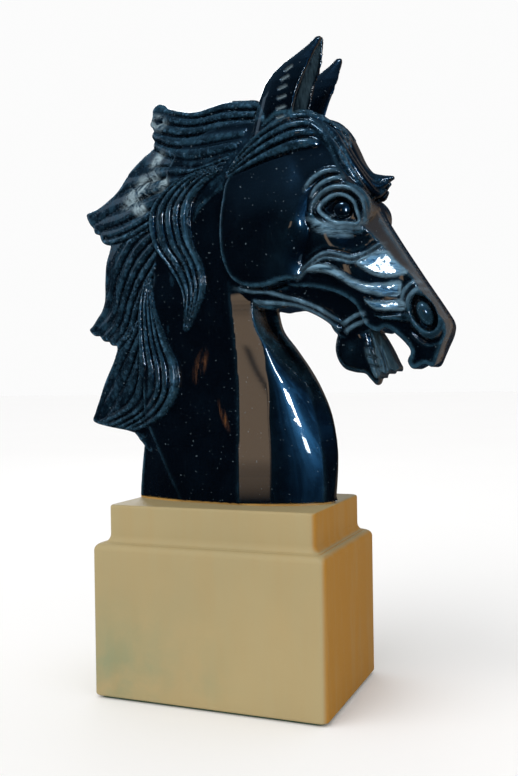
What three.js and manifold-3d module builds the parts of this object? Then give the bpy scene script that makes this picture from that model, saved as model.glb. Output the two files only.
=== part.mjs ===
// A horse's head carved from one piece of black jade, set on a stepped stone plinth.
// Two steel dowels and a bed of amber resin hold the carving on the plinth, which stands on a felt sheet.
// Millimetres, +Z up. X runs along the plinth, towards the horse's nose. Y = 0 is the horse's middle plane.
// The origin is the centre of the underside of the felt.
import * as THREE from "three";
import { mergeVertices } from "three/addons/utils/BufferGeometryUtils.js";
import Module from "manifold-3d";

const wasm = await Module();
wasm.setup();

// ---- driving dimensions ----
const FELT = { thickness: 1.5, inset: 3 };
const PLINTH = {
  length: 150, // lower block, along X
  depth: 105, // lower block, along Y
  top: 118, // height of the top face
  shoulder: 95, // height of the step all round
  stepX: 8,
  stepY: 7,
  coveRadius: 5, // hollow where the upper block meets the shoulder
  noseRadius: 4.5, // round outer edge of the shoulder
  arris: 1.5, // eased top and bottom edges
  cornerRadius: 4, // upright corners
};
const BED = { thickness: 1, overhang: 0.8 }; // resin under the neck, squeezed out a little all round
const DOWEL = { radius: 4, length: 60, x: [-22, 30], clearance: 0.5, tip: 1 };
const FOOT = PLINTH.top + BED.thickness; // where the neck's cut face starts

const COLOURS = {
  jade: "#0b1319",
  stone: "#b9a173",
  resin: "#a8782c",
  steel: "#a9adb1",
  felt: "#27402f",
};

// ---- helpers ----

// A closed three.js geometry as a manifold-3d solid, turned to face out.
function solid(geometry) {
  const bare = geometry.index ? geometry.toNonIndexed() : geometry.clone();
  bare.deleteAttribute("normal");
  bare.deleteAttribute("uv");
  const merged = mergeVertices(bare, 1e-4);
  const triVerts = new Uint32Array(merged.index.array);
  const vertProperties = merged.attributes.position.array;
  const made = new wasm.Manifold(new wasm.Mesh({ numProp: 3, vertProperties, triVerts }));
  if (made.volume() > 0) return made;
  for (let i = 0; i < triVerts.length; i += 3) {
    [triVerts[i + 1], triVerts[i + 2]] = [triVerts[i + 2], triVerts[i + 1]];
  }
  return new wasm.Manifold(new wasm.Mesh({ numProp: 3, vertProperties, triVerts }));
}

function joined(solids) {
  return solids.reduce((sum, next) => sum.add(next));
}

// The outer body alone, so that pockets shut in between the locks of hair are solid stone.
function filled(made) {
  return made.decompose().reduce((most, each) => (each.volume() > most.volume() ? each : most));
}

// A manifold-3d solid as a three.js geometry.
function geometryOf(made) {
  const mesh = made.getMesh();
  const geometry = new THREE.BufferGeometry();
  geometry.setAttribute("position", new THREE.BufferAttribute(mesh.vertProperties, 3));
  geometry.setIndex(new THREE.BufferAttribute(mesh.triVerts, 1));
  geometry.computeVertexNormals();
  return geometry;
}

// A skin over rings that all have the same number of points: a cylinder whose rows take the rings' places.
function loft(rings) {
  const sides = rings[0].length;
  const rows = rings.length - 1;
  const geometry = new THREE.CylinderGeometry(1, 1, rows, sides, rows);
  const position = geometry.attributes.position;
  const place = new THREE.Vector3();
  for (let i = 0; i < position.count; i++) {
    place.fromBufferAttribute(position, i);
    const points = rings[Math.round(rows / 2 - place.y)];
    const turn = Math.atan2(place.x, place.z) / (2 * Math.PI);
    if (Math.hypot(place.x, place.z) > 0.5) {
      place.copy(points[(Math.round(turn * sides) + sides) % sides]);
    } else {
      place.set(0, 0, 0);
      for (const point of points) place.addScaledVector(point, 1 / sides);
    }
    position.setXYZ(i, place.x, place.y, place.z);
  }
  return solid(geometry);
}

// A smooth run of values through stations, each a list of numbers, sampled evenly.
function smooth(stations, count) {
  const width = stations[0].length;
  const curves = [];
  for (let k = 0; k < width; k += 3) {
    const knots = stations.map((s) => new THREE.Vector3(s[k], s[k + 1] ?? 0, s[k + 2] ?? 0));
    curves.push(new THREE.CatmullRomCurve3(knots, false, "centripetal"));
  }
  return Array.from({ length: count }, (_, i) => {
    const t = i / (count - 1);
    return curves.flatMap((curve) => curve.getPoint(t).toArray()).slice(0, width);
  });
}

// A ring in the plane of Y and a direction in XZ: a superellipse, squarer as power grows.
function ring(x, z, angle, halfHeight, halfWidth, sides, power = 2.2, y = 0) {
  return Array.from({ length: sides }, (_, i) => {
    const turn = (i / sides) * 2 * Math.PI;
    const up = Math.sign(Math.cos(turn)) * Math.abs(Math.cos(turn)) ** (2 / power) * halfHeight;
    const out = Math.sign(Math.sin(turn)) * Math.abs(Math.sin(turn)) ** (2 / power) * halfWidth;
    return new THREE.Vector3(x + up * Math.cos(angle), y + out, z + up * Math.sin(angle));
  });
}

// A tapered round bar along points [x, y, z, radius].
function strand(stations, count, sides) {
  const samples = smooth(stations, count);
  const rings = samples.map(([x, y, z, radius], i) => {
    const before = samples[Math.max(i - 1, 0)];
    const after = samples[Math.min(i + 1, count - 1)];
    const along = new THREE.Vector3(after[0] - before[0], after[1] - before[1], after[2] - before[2]);
    along.normalize();
    const out = new THREE.Vector3(0, 1, 0).addScaledVector(along, -along.y).normalize();
    const across = new THREE.Vector3().crossVectors(along, out);
    return Array.from({ length: sides }, (_, s) => {
      const turn = (s / sides) * 2 * Math.PI;
      return new THREE.Vector3(x, y, z)
        .addScaledVector(out, radius * Math.cos(turn))
        .addScaledVector(across, radius * Math.sin(turn));
    });
  });
  return loft(rings);
}

function ellipsoid([x, y, z], [rx, ry, rz], tilt = 0) {
  const geometry = new THREE.SphereGeometry(1, 12, 8);
  geometry.scale(rx, ry, rz);
  geometry.rotateY(tilt);
  geometry.translate(x, y, z);
  return solid(geometry);
}

function upright(radius, from, to, x) {
  const geometry = new THREE.CylinderGeometry(radius, radius, to - from, 32);
  geometry.rotateX(Math.PI / 2);
  geometry.translate(x, 0, (from + to) / 2);
  return solid(geometry);
}

const bothSides = (make) => [-1, 1].map(make);

// ---- plinth and felt ----

// A rectangle with round corners as a ring at height z.
function slabRing(length, depth, radius, z) {
  const points = [];
  const steps = 4;
  for (const [cx, cy, start] of [
    [1, 1, 0],
    [-1, 1, 90],
    [-1, -1, 180],
    [1, -1, 270],
  ]) {
    for (let i = 0; i <= steps; i++) {
      const turn = THREE.MathUtils.degToRad(start + (90 * i) / steps);
      const x = cx * (length / 2 - radius) + radius * Math.cos(turn);
      const y = cy * (depth / 2 - radius) + radius * Math.sin(turn);
      points.push(new THREE.Vector3(x, y, z));
    }
  }
  return points;
}

function plinth() {
  const { length, depth, top, shoulder, stepX, stepY, coveRadius, noseRadius, arris } = PLINTH;
  const bottom = FELT.thickness;
  const profile = [
    [arris, bottom], // [how far in, height]
    [0, bottom + arris],
  ];
  const arc = 6;
  for (let i = 0; i <= arc; i++) {
    const turn = (i / arc) * (Math.PI / 2);
    profile.push([noseRadius * (1 - Math.cos(turn)), shoulder - noseRadius * (1 - Math.sin(turn))]);
  }
  const inner = (stepX + stepY) / 2;
  for (let i = 0; i <= arc; i++) {
    const turn = (i / arc) * (Math.PI / 2);
    const inward = inner - (inner - noseRadius) * (1 - Math.sin(turn));
    profile.push([inward, shoulder + 0.2 + coveRadius * (1 - Math.cos(turn))]);
  }
  profile.push([inner, top - arris]);
  profile.push([inner + arris, top]);
  const rings = profile.map(([inward, z]) => {
    const shareX = inward * (stepX / inner);
    const shareY = inward * (stepY / inner);
    return slabRing(length - 2 * shareX, depth - 2 * shareY, PLINTH.cornerRadius, z);
  });
  let made = loft(rings);
  for (const x of DOWEL.x) {
    const floor = FOOT - DOWEL.length / 2 - DOWEL.clearance;
    made = made.subtract(upright(DOWEL.radius + DOWEL.clearance, floor, top + 1, x));
  }
  return made;
}

function felt() {
  const length = PLINTH.length - 2 * FELT.inset;
  const depth = PLINTH.depth - 2 * FELT.inset;
  const rings = [0, FELT.thickness].map((z) => slabRing(length, depth, PLINTH.cornerRadius, z));
  return loft(rings);
}

// ---- the neck and its foot ----

// Neck sections by height: [z, back, front, half width, x of the sharp ridge on each side].
const NECK = [
  [FOOT, -66, 63, 24.5, 11],
  [134, -65, 66, 25, 11],
  [152, -63, 66.5, 25.5, 11.5],
  [172, -60, 62, 26, 11.5],
  [192, -60, 53.5, 26, 11],
  [212, -60, 42, 26, 10],
  [232, -60, 29, 26, 9],
  [255, -58, 28, 25, 9],
  [285, -54, 38, 25, 8],
  [315, -44, 44, 24, 8],
  [340, -26, 46, 21, 8],
  [352, -8, 40, 16, 8],
];
// One side of a section: [share from the ridge to the back (negative) or front, share of the half width].
const NECK_SIDE = [
  [-1, 0.16],
  [-0.9, 0.4],
  [-0.62, 0.72],
  [0, 1],
  [0.4, 0.93],
  [0.72, 0.72],
  [0.9, 0.45],
  [1, 0.12],
];

function neckRing([z, back, front, halfWidth, ridge], grow = 0) {
  const side = NECK_SIDE.map(([share, width]) => {
    const reach = share < 0 ? ridge - back : front - ridge;
    return [ridge + share * (reach + grow), width * halfWidth + grow];
  });
  return [
    ...side.map(([x, y]) => new THREE.Vector3(x, -y, z)),
    ...side.reverse().map(([x, y]) => new THREE.Vector3(x, y, z)),
  ];
}

function neck() {
  return loft(smooth(NECK, 13).map((station) => neckRing(station)));
}

function resinBed() {
  const [, ...rest] = NECK[0];
  const rings = [PLINTH.top, FOOT].map((z) => neckRing([z, ...rest], BED.overhang));
  let made = loft(rings);
  for (const x of DOWEL.x) {
    made = made.subtract(upright(DOWEL.radius + DOWEL.clearance, PLINTH.top - 1, FOOT + 1, x));
  }
  return made;
}

function dowel(x) {
  const half = DOWEL.length / 2;
  const profile = [
    [0, -half],
    [DOWEL.radius - DOWEL.tip, -half],
    [DOWEL.radius, DOWEL.tip - half],
    [DOWEL.radius, half - DOWEL.tip],
    [DOWEL.radius - DOWEL.tip, half],
    [0, half],
  ];
  const geometry = new THREE.LatheGeometry(profile.map(([r, z]) => new THREE.Vector2(r, z)), 32);
  geometry.rotateX(Math.PI / 2);
  geometry.translate(x, 0, FOOT);
  return solid(geometry);
}

// ---- the head ----

// The head's own axis runs from the poll to the nose; `over` is square to it, out of the forehead.
const POLL = { x: 30, z: 330 };
const HEAD_TILT = THREE.MathUtils.degToRad(-49);
const along = { x: Math.cos(HEAD_TILT), z: Math.sin(HEAD_TILT) };
const over = { x: -along.z, z: along.x };

function onHead(s, t) {
  return { x: POLL.x + s * along.x + t * over.x, z: POLL.z + s * along.z + t * over.z };
}

// Sections along the head: [distance from the poll, forehead side, jaw side, half width, squareness].
const SKULL = [
  [-14, 14, -22, 14, 2],
  [0, 30, -44, 26, 2.2],
  [18, 37, -52, 33, 2.3],
  [36, 34, -55, 37, 2.4],
  [54, 30, -54, 37, 2.4],
  [70, 25, -48, 33, 2.4],
  [84, 21, -38, 27, 2.4],
  [100, 18.5, -31, 22.5, 2.5],
  [118, 15.5, -27, 20.5, 2.5],
  [136, 12.5, -24, 21.5, 2.5],
  [148, 9.5, -20.5, 20, 2.4],
  [156, 5, -16, 15, 2.2],
  [160, -1, -13, 7, 2],
];

function headLoft(stations, count, sides) {
  const up = Math.atan2(over.z, over.x);
  const rings = smooth(stations, count).map(([s, high, low, halfWidth, power]) => {
    const { x, z } = onHead(s, (high + low) / 2);
    return ring(x, z, up, (high - low) / 2, halfWidth, sides, power);
  });
  return loft(rings);
}

// The lower jaw, from under the cheek to the teeth: [x, z, half height, half width].
const JAW = [
  [30, 262, 10, 20],
  [46, 250, 10.5, 21],
  [62, 240, 11, 20],
  [75, 228, 11, 17.5],
  [82, 215, 11.5, 15.5],
  [84, 205, 10.5, 14],
  [87, 199, 6, 11],
];
const TEETH = [
  [86, 220, 5, 11],
  [92, 214, 8, 13],
  [96, 206, 9.5, 13.5],
  [98, 199, 9, 13],
  [99, 196.5, 7, 12],
];

function barAlong(stations, count, sides, power) {
  const samples = smooth(stations, count);
  const rings = samples.map(([x, z, halfHeight, halfWidth], i) => {
    const before = samples[Math.max(i - 1, 0)];
    const after = samples[Math.min(i + 1, count - 1)];
    const square = Math.atan2(after[0] - before[0], before[1] - after[1]);
    return ring(x, z, square, halfHeight, halfWidth, sides, power);
  });
  return loft(rings);
}

function head() {
  const parts = [headLoft(SKULL, 16, 20), barAlong(JAW, 8, 12, 2.4), barAlong(TEETH, 5, 10, 3)];
  for (const side of [-1, 1]) {
    const cheek = new THREE.SphereGeometry(1, 22, 10);
    cheek.scale(38, 13, 40);
    cheek.translate(49, side * 23.5, 289);
    parts.push(solid(cheek));
    parts.push(ellipsoid([83, side * 29, 290], [12, 6, 10], 0.5)); // lids
    parts.push(ellipsoid([84, side * 33, 289], [6, 4.5, 5.5])); // eyeball
    const browKnots = [
      [65, side * 34, 298, 1.5],
      [72, side * 33, 306, 3],
      [82, side * 30, 310, 3],
      [90, side * 26, 306, 1.5],
    ];
    parts.push(strand(browKnots, 7, 6));
    const flare = onHead(142, -3);
    parts.push(ellipsoid([flare.x, side * 18, flare.z], [15, 7, 12], -HEAD_TILT));
  }
  let made = joined(parts);
  for (const side of [-1, 1]) {
    const hole = onHead(142, -4);
    made = made.subtract(ellipsoid([hole.x, side * 26, hole.z], [8.5, 6, 5.5], -HEAD_TILT));
  }
  return made;
}

// An ear leans forward to a small bent tip: [x, y, z, half length along the head, half width].
const EAR = [
  [38, 18, 338, 18, 8],
  [41, 19, 350, 17.5, 9],
  [46, 20, 361, 17, 9],
  [51, 20, 371, 14.5, 8],
  [56, 20, 380, 11, 6.5],
  [61, 20, 387.5, 6.5, 4.5],
  [65, 20, 392.5, 3.2, 3],
  [66, 20, 394.5, 1.2, 1.2],
];

function ear(side) {
  const rings = smooth(EAR, 9).map(([x, y, z, length, width]) =>
    ring(x, z, -0.35, length, width, 12, 2, side * y),
  );
  const hollow = smooth(EAR.slice(1, 7), 6).map(([x, y, z, length, width]) =>
    ring(x + length * 0.75, z, -0.35, length * 0.62, width * 0.62, 10, 2, side * (y + 1.5)),
  );
  return loft(rings).subtract(loft(hollow));
}

// ---- hair ----

// A lock is a ridged sheet between two edges, each a list of [x, y, z, rise], y being out from the middle.
const LOCKS = {
  crest: {
    strands: 4,
    edges: [
      [[30, 13, 362, 4], [0, 14, 362, 4.5], [-25, 12, 359, 4.5], [-42, 9, 364, 4.2], [-51, 5, 370, 3]],
      [[15, 19, 335, 4], [-10, 20, 338, 4.5], [-30, 17, 342, 5], [-44, 12, 346, 4.5], [-50, 7, 348, 3.5]],
    ],
  },
  plume: {
    strands: 4,
    edges: [
      [[-8, 20, 332, 5], [-35, 18, 336, 5.5], [-60, 13, 328, 5.5], [-82, 8, 314, 4.5], [-101, 4, 306, 2.6]],
      [[-25, 22, 306, 5], [-45, 20, 300, 5.5], [-62, 15, 296, 5], [-78, 9, 292, 4.5], [-90, 5, 289, 3]],
    ],
  },
  fall: {
    strands: 4,
    edges: [
      [[-50, 18, 300, 5], [-74, 13, 286, 5.5], [-85, 10, 262, 5], [-88, 7, 246, 4.5], [-101, 4, 232, 2.6]],
      [[-45, 19, 262, 5], [-58, 16, 254, 5], [-68, 13, 242, 5], [-76, 9, 230, 4.5], [-84, 6, 223, 3]],
    ],
  },
  tail: {
    strands: 4,
    edges: [
      [[-58, 17, 244, 5], [-74, 13, 222, 5.5], [-86, 10, 202, 5.5], [-94, 7, 184, 5], [-102, 4, 171, 2.6]],
      [[-46, 20, 214, 5], [-46, 20, 196, 5.5], [-52, 18, 180, 5.5], [-62, 13, 170, 5], [-74, 8, 165, 3.2]],
    ],
  },
  upperCurl: {
    strands: 3,
    edges: [
      [[-10, 24, 324, 3], [-34, 25, 306, 4], [-42, 26, 288, 4.5], [-32, 27, 262, 4.5], [-22, 27, 232, 3]],
      [[2, 25, 318, 3], [-17, 27, 302, 4], [-17, 28, 284, 4.5], [-8, 28, 262, 4.5], [-14, 27, 236, 3]],
    ],
  },
  lowerCurl: {
    strands: 3,
    edges: [
      [[-56, 20, 264, 3], [-58, 21, 236, 4], [-56, 22, 208, 4.5], [-62, 19, 186, 4.5], [-80, 12, 174, 3]],
      [[-44, 21, 257, 3], [-40, 24, 230, 4], [-32, 26, 204, 4.5], [-38, 24, 184, 4.5], [-58, 15, 168, 3]],
    ],
  },
  browBand: {
    strands: 3,
    edges: [
      [[6, 30, 312, 2], [20, 30, 330, 4], [42, 26, 345, 5], [62, 17, 349, 5], [72, 8, 344, 3.5]],
      [[14, 34, 306, 2], [30, 34, 318, 4], [48, 31, 328, 5], [66, 22, 334, 5], [76, 11, 334, 3.5]],
    ],
  },
};
const FORELOCK = [
  [[68, 0, 344, 5], [77, 1, 333, 5.5], [84, 2, 321, 5], [92, 3, 312, 4.2], [100, 4, 310.5, 2.2]],
  [[68, -5, 340, 5], [77, -5, 327, 5.5], [85, -4, 314, 5], [91, -3, 306, 4], [95, -3, 303, 2.4]],
];

// The section of a lock has one ridge for each strand, and a flat underside sunk into the core.
function lock({ strands, edges }, side) {
  const [first, last] = edges.map((edge) => smooth(edge, 7));
  const rings = first.map((from, k) => {
    const at = (share, lift) => {
      const [x, y, z, rise] = from.map((value, axis) => value + (last[k][axis] - value) * share);
      return new THREE.Vector3(x, side * (y + lift * rise), z);
    };
    const steps = 2 * strands;
    const top = Array.from({ length: steps + 1 }, (_, i) => at(i / steps, i % 2 ? 1 : 0.1));
    return [...top, at(1, -2), at(0, -2)];
  });
  return loft(rings);
}

// The solid core that the strands of the mane lie on.
function maneCore() {
  const outline = [
    [30, 362], [0, 364], [-25, 360], [-46, 360], [-50, 346], [-64, 330], [-84, 312], [-92, 300],
    [-80, 288], [-84, 262], [-88, 240], [-78, 226], [-84, 204], [-94, 180], [-84, 172], [-62, 166],
    [-52, 158], [-30, 180], [-20, 250], [0, 320], [24, 346],
  ];
  const shape = new THREE.Shape(outline.map(([x, z]) => new THREE.Vector2(x, z)));
  const bevel = 6;
  const half = 9;
  const geometry = new THREE.ExtrudeGeometry(shape, {
    depth: 2 * half,
    bevelThickness: bevel,
    bevelSize: bevel / 2,
    bevelOffset: -bevel / 2,
    bevelSegments: 2,
  });
  geometry.translate(0, 0, -half);
  geometry.rotateX(Math.PI / 2);
  return solid(geometry);
}

function horse() {
  const locks = bothSides((side) => Object.values(LOCKS).flatMap((each) => lock(each, side))).flat();
  const forelock = FORELOCK.map((stations) => strand(stations, 9, 8));
  let made = filled(joined([neck(), head(), ...bothSides(ear), maneCore(), ...locks, ...forelock]));
  for (const x of DOWEL.x) {
    const roof = FOOT + DOWEL.length / 2 + DOWEL.clearance;
    made = made.subtract(upright(DOWEL.radius + DOWEL.clearance, FOOT - 1, roof, x));
  }
  return made;
}

// ---- the assembly ----

function addPiece(group, name, made, material) {
  const mesh = new THREE.Mesh(geometryOf(made), material);
  mesh.name = name;
  group.add(mesh);
}

const material = (colour, roughness, metalness = 0) =>
  new THREE.MeshStandardMaterial({ color: colour, roughness, metalness });

const figurine = new THREE.Group();
addPiece(figurine, "horse_head", horse(), material(COLOURS.jade, 0.15));
addPiece(figurine, "plinth", plinth(), material(COLOURS.stone, 0.55));
addPiece(figurine, "resin_bed", resinBed(), material(COLOURS.resin, 0.3));
DOWEL.x.forEach((x, i) => {
  addPiece(figurine, ["rear_dowel", "front_dowel"][i], dowel(x), material(COLOURS.steel, 0.35, 1));
});
addPiece(figurine, "felt_base", felt(), material(COLOURS.felt, 0.95));

export default figurine;
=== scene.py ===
import math

import bpy
import numpy as np
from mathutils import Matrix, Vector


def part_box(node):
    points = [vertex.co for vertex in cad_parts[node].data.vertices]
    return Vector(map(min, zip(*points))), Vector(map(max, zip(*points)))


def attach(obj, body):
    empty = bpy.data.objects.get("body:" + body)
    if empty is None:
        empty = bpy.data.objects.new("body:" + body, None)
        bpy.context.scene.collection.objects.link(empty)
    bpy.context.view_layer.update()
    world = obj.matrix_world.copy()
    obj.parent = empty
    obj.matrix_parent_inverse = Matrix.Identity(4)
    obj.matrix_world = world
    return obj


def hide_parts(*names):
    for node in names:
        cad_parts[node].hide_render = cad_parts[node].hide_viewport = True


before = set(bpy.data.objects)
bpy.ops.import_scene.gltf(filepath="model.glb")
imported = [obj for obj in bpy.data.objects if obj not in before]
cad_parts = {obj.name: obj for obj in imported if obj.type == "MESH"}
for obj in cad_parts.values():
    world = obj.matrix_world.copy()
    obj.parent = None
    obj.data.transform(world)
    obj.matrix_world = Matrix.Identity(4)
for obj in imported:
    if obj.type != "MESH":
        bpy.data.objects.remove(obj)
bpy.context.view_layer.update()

import openvdb
from mathutils import Matrix, Vector

mm = 0.001


# The horse is carved like a relief from both sides: a map holds one number for each spot in the
# side view (x, z), in millimetres. Depth maps say how far the surface stands out from the middle plane.
sideView = {
    "step": 0.5,
    "low": np.array([-114.0, 114.0]),
    "cells": (516, 584),
}
columnX = sideView["low"][0] + sideView["step"] * np.arange(sideView["cells"][0])
rowZ = sideView["low"][1] + sideView["step"] * np.arange(sideView["cells"][1])
mapX, mapZ = np.meshgrid(columnX, rowZ, indexing="ij")


def smoothLine(points, perSpan=8, closed=False):
    # a Catmull-Rom curve through the points, which may have any number of coordinates
    p = np.array(points, dtype=float)
    if closed:
        padded = np.concatenate([p[-1:], p, p[:2]])
    else:
        padded = np.concatenate([2 * p[:1] - p[1:2], p, 2 * p[-1:] - p[-2:-1]])
    t = np.linspace(0, 1, perSpan, endpoint=False).reshape((-1,) + (1,) * (p.ndim - 1))
    spans = []
    for a, b, c, d in zip(padded, padded[1:], padded[2:], padded[3:]):
        cubic = 2 * b + (c - a) * t + (2 * a - 5 * b + 4 * c - d) * t**2 + (3 * b - a - 3 * c + d) * t**3
        spans.append(cubic / 2)
    if not closed:
        spans.append(p[-1:])
    return np.concatenate(spans)


def windowAround(low, high):
    # the map's cells between two corners
    cells = []
    for axis in (0, 1):
        first = int((low[axis] - sideView["low"][axis]) / sideView["step"])
        last = int((high[axis] - sideView["low"][axis]) / sideView["step"]) + 2
        cells.append(slice(max(first, 0), max(last, 0)))
    return tuple(cells)


def distanceTo(line, reach):
    # how far each spot is from the line, up to reach, and its share of the way along the line
    distance = np.full(mapX.shape, float(reach))
    share = np.zeros(mapX.shape)
    for i, (a, b) in enumerate(zip(line[:-1], line[1:])):
        window = windowAround(np.minimum(a, b) - reach, np.maximum(a, b) + reach)
        dx = mapX[window] - a[0]
        dz = mapZ[window] - a[1]
        run = b - a
        t = np.clip((dx * run[0] + dz * run[1]) / max(run @ run, 1e-9), 0, 1)
        away = np.hypot(dx - t * run[0], dz - t * run[1])
        closer = away < distance[window]
        distance[window][closer] = away[closer]
        share[window][closer] = (i + t[closer]) / (len(line) - 1)
    return distance, share


def outlineDistance(points, reach=30, perSpan=8):
    # distance to a closed outline, negative inside it
    line = smoothLine(points, perSpan, closed=True)
    line = np.concatenate([line, line[:1]])
    inside = np.zeros(mapX.shape, dtype=bool)
    for (x1, z1), (x2, z2) in zip(line[:-1], line[1:]):
        if z1 == z2:
            continue
        rows = (rowZ >= min(z1, z2)) & (rowZ < max(z1, z2))
        crossing = x1 + (rowZ[rows] - z1) * (x2 - x1) / (z2 - z1)
        inside[:, rows] ^= columnX[:, None] < crossing[None]
    distance = distanceTo(line, reach)[0]
    return np.where(inside, -distance, distance)


def hills(points, easing=20):
    # the smoothest depth map near spots given as (x, z, depth); easing keeps it from rippling between them
    known = np.array(points, dtype=float)
    count = len(known)

    def bend(squared):
        return squared * np.log(squared + 1e-6)

    gaps = ((known[:, None, :2] - known[None, :, :2]) ** 2).sum(-1)
    flat = np.column_stack([np.ones(count), known[:, :2]])
    system = np.block([[bend(gaps) + easing * np.eye(count), flat], [flat.T, np.zeros((3, 3))]])
    weights = np.linalg.solve(system, np.concatenate([known[:, 2], np.zeros(3)]))
    made = weights[count] + weights[count + 1] * mapX + weights[count + 2] * mapZ
    for (x, z, _), weight in zip(known, weights):
        made += weight * bend((mapX - x) ** 2 + (mapZ - z) ** 2)
    return made


def fade(value, start, end):
    # 0 before start, 1 after end, and a smooth step between them
    t = np.clip((value - start) / (end - start), 0, 1)
    return t * t * (3 - 2 * t)


def ridge(depth, points, height, halfWidth, roundness=1.0, taper=0.15):
    # a raised or, with a negative height, a sunk line that dies away at both ends
    distance, share = distanceTo(smoothLine(points, 10), halfWidth)
    swell = np.clip(np.minimum(share, 1 - share) / taper, 0, 1) ** 0.5 if taper else 1
    depth += height * swell * np.clip(1 - (distance / halfWidth) ** 2, 0, 1) ** roundness


def pad(depth, points, height, bevel, tilt=(0, 0)):
    # a raised patch with bevelled edges, which may lean along x and z
    middle = np.mean(points, axis=0)
    lean = tilt[0] * (mapX - middle[0]) + tilt[1] * (mapZ - middle[1])
    depth += (height + lean) * fade(-outlineDistance(points, bevel + 1), 0, bevel)


def comb(guides, strands, sharpness=0.55):
    # ridges between guide lines: 1 on top of a strand and 0 in a groove, and the spots that have them
    along, between = 60, 70  # steps from point to point and from guide to guide, which leave no cell out
    lines = np.array([smoothLine(guide, along) for guide in guides])
    sheet = smoothLine(lines, between)
    across = np.linspace(0, 1, len(sheet))[:, None] * np.ones(sheet.shape[1])
    cells = np.round((sheet - sideView["low"]) / sideView["step"]).astype(int)
    place = np.full(mapX.shape, np.nan)
    place[cells[..., 0], cells[..., 1]] = across
    phase = place * strands % 1
    profile = np.clip(1 - (2 * phase - 1) ** 2, 0, 1) ** sharpness
    return np.nan_to_num(profile), ~np.isnan(place)


def blurred(values, reach):
    # three running averages in each direction
    half = max(int(reach / sideView["step"]), 1)
    width = 2 * half + 1
    for axis in (0, 1):
        for _ in range(3):
            padding = [(0, 0), (0, 0)]
            padding[axis] = (half + 1, half)
            total = np.cumsum(np.pad(values, padding, mode="edge"), axis=axis)
            ahead = np.take(total, range(width, total.shape[axis]), axis=axis)
            behind = np.take(total, range(total.shape[axis] - width), axis=axis)
            values = (ahead - behind) / width
    return values


def layer(outline, depth, rounding, reach=30, steepest=3):
    # a relief layer: the distance to its outline, its depth, and how round the edge between the two is
    slope = np.minimum(np.hypot(*np.gradient(depth, sideView["step"])), steepest)
    return {
        "edge": outlineDistance(outline, reach),
        "depth": depth,
        "steepness": 1 / np.sqrt(1 + slope**2),
        "rounding": rounding,
    }


neck = {
    # z, then x of the back, the end of the back facet, the sharp side ridge, the front crease, the front
    "stations": [
        (110, -66, -27, 12, 60.4, 65),
        (120, -65.6, -30, 12, 60.8, 66),
        (135, -64.6, -37.5, 12, 60.8, 67.2),
        (152, -63, -45.5, 12.5, 59.4, 67),
        (172, -61, -54, 12.8, 56, 64),
        (192, -60, -55, 12.8, 50.6, 56),
        (212, -60, -55, 11.6, 38, 43),
        (226, -60, -54, 10.2, 27, 34),
        (242, -60, -54, 8.6, 23, 31),
        (258, -60, -54, 8, 22, 30),
        (274, -60, -54, 8, 22, 30),
    ],
    "depths": (7, 20.5, 26.5, 8.5, 0.8),  # half thickness at those places
    # how much of the front facet is flat before it rounds over, at each height
    "flatShare": [(124, 0.36), (170, 0.40), (200, 0.5), (222, 0.76), (240, 0.9)],
    "flatSlope": 0.24,
    "flatMost": 0.8,  # share of the facet's fall that its flat part may take
    "collar": [
        # the upper neck, under the mane and the cheek: x, z and half thickness
        (-10, 250, 26), (-5, 280, 26), (0, 310, 25.5), (-40, 250, 21), (-40, 300, 20), (10, 335, 22),
        (-20, 340, 17), (20, 260, 26), (30, 345, 19), (-20, 320, 21), (-20, 280, 24.5), (-20, 240, 24),
    ],
    "collarMost": 27,
    "collarStart": (243, 262),  # heights between which the collar takes over
    "throat": (3, 2.6),  # how it rounds in to the throat: half thickness there, and its growth
    "throatFrom": 5,  # x
    "throatHeights": (205, 266),
    "rounding": 1.0,
    "outline": [
        (-66, 108), (-66, 119), (-64.6, 136), (-62, 154), (-58, 180), (-52, 210), (-48, 240), (-46, 270),
        (-42, 300), (-36, 330), (-20, 345), (10, 350), (36, 345), (44, 300), (40, 262), (31, 240),
        (31, 231), (34, 222), (42, 212), (50, 201), (58, 187), (64, 172), (67.2, 154), (67.4, 140),
        (66, 122), (64.5, 108),
    ],
}


def neckRow(x, z, knots):
    # half thickness along one level of the neck
    _, _, side, crease, _ = knots
    depths = neck["depths"]
    depth = np.interp(x, knots, depths)
    width = crease - side
    drop = depths[2] - depths[3]
    flat = np.interp(z, *zip(*neck["flatShare"])) * width
    slope = min(neck["flatSlope"], neck["flatMost"] * drop / width)
    bend = (drop - slope * width) / (width - flat) ** 2
    along = x - side
    facet = depths[2] - slope * along - bend * np.maximum(along - flat, 0) ** 2
    return np.where((x > side) & (x < crease), facet, depth)


def neckLayer():
    stations = smoothLine(neck["stations"], 6)
    places = [np.interp(rowZ, stations[:, 0], column) for column in stations[:, 1:].T]
    depth = np.zeros(mapX.shape)
    for row, knots in enumerate(zip(*places)):
        depth[:, row] = neckRow(columnX, rowZ[row], knots)
    upper = fade(mapZ, *neck["collarStart"])
    depth = depth * (1 - upper) + np.minimum(hills(neck["collar"]), neck["collarMost"]) * upper
    made = layer(neck["outline"], depth, neck["rounding"])
    low, high = neck["throatHeights"]
    atThroat = (mapX > neck["throatFrom"]) & (mapZ > low) & (mapZ < high)
    thin, growth = neck["throat"]
    made["depth"] = np.where(atThroat, np.minimum(depth, thin - growth * made["edge"]), depth)
    return made


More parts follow.
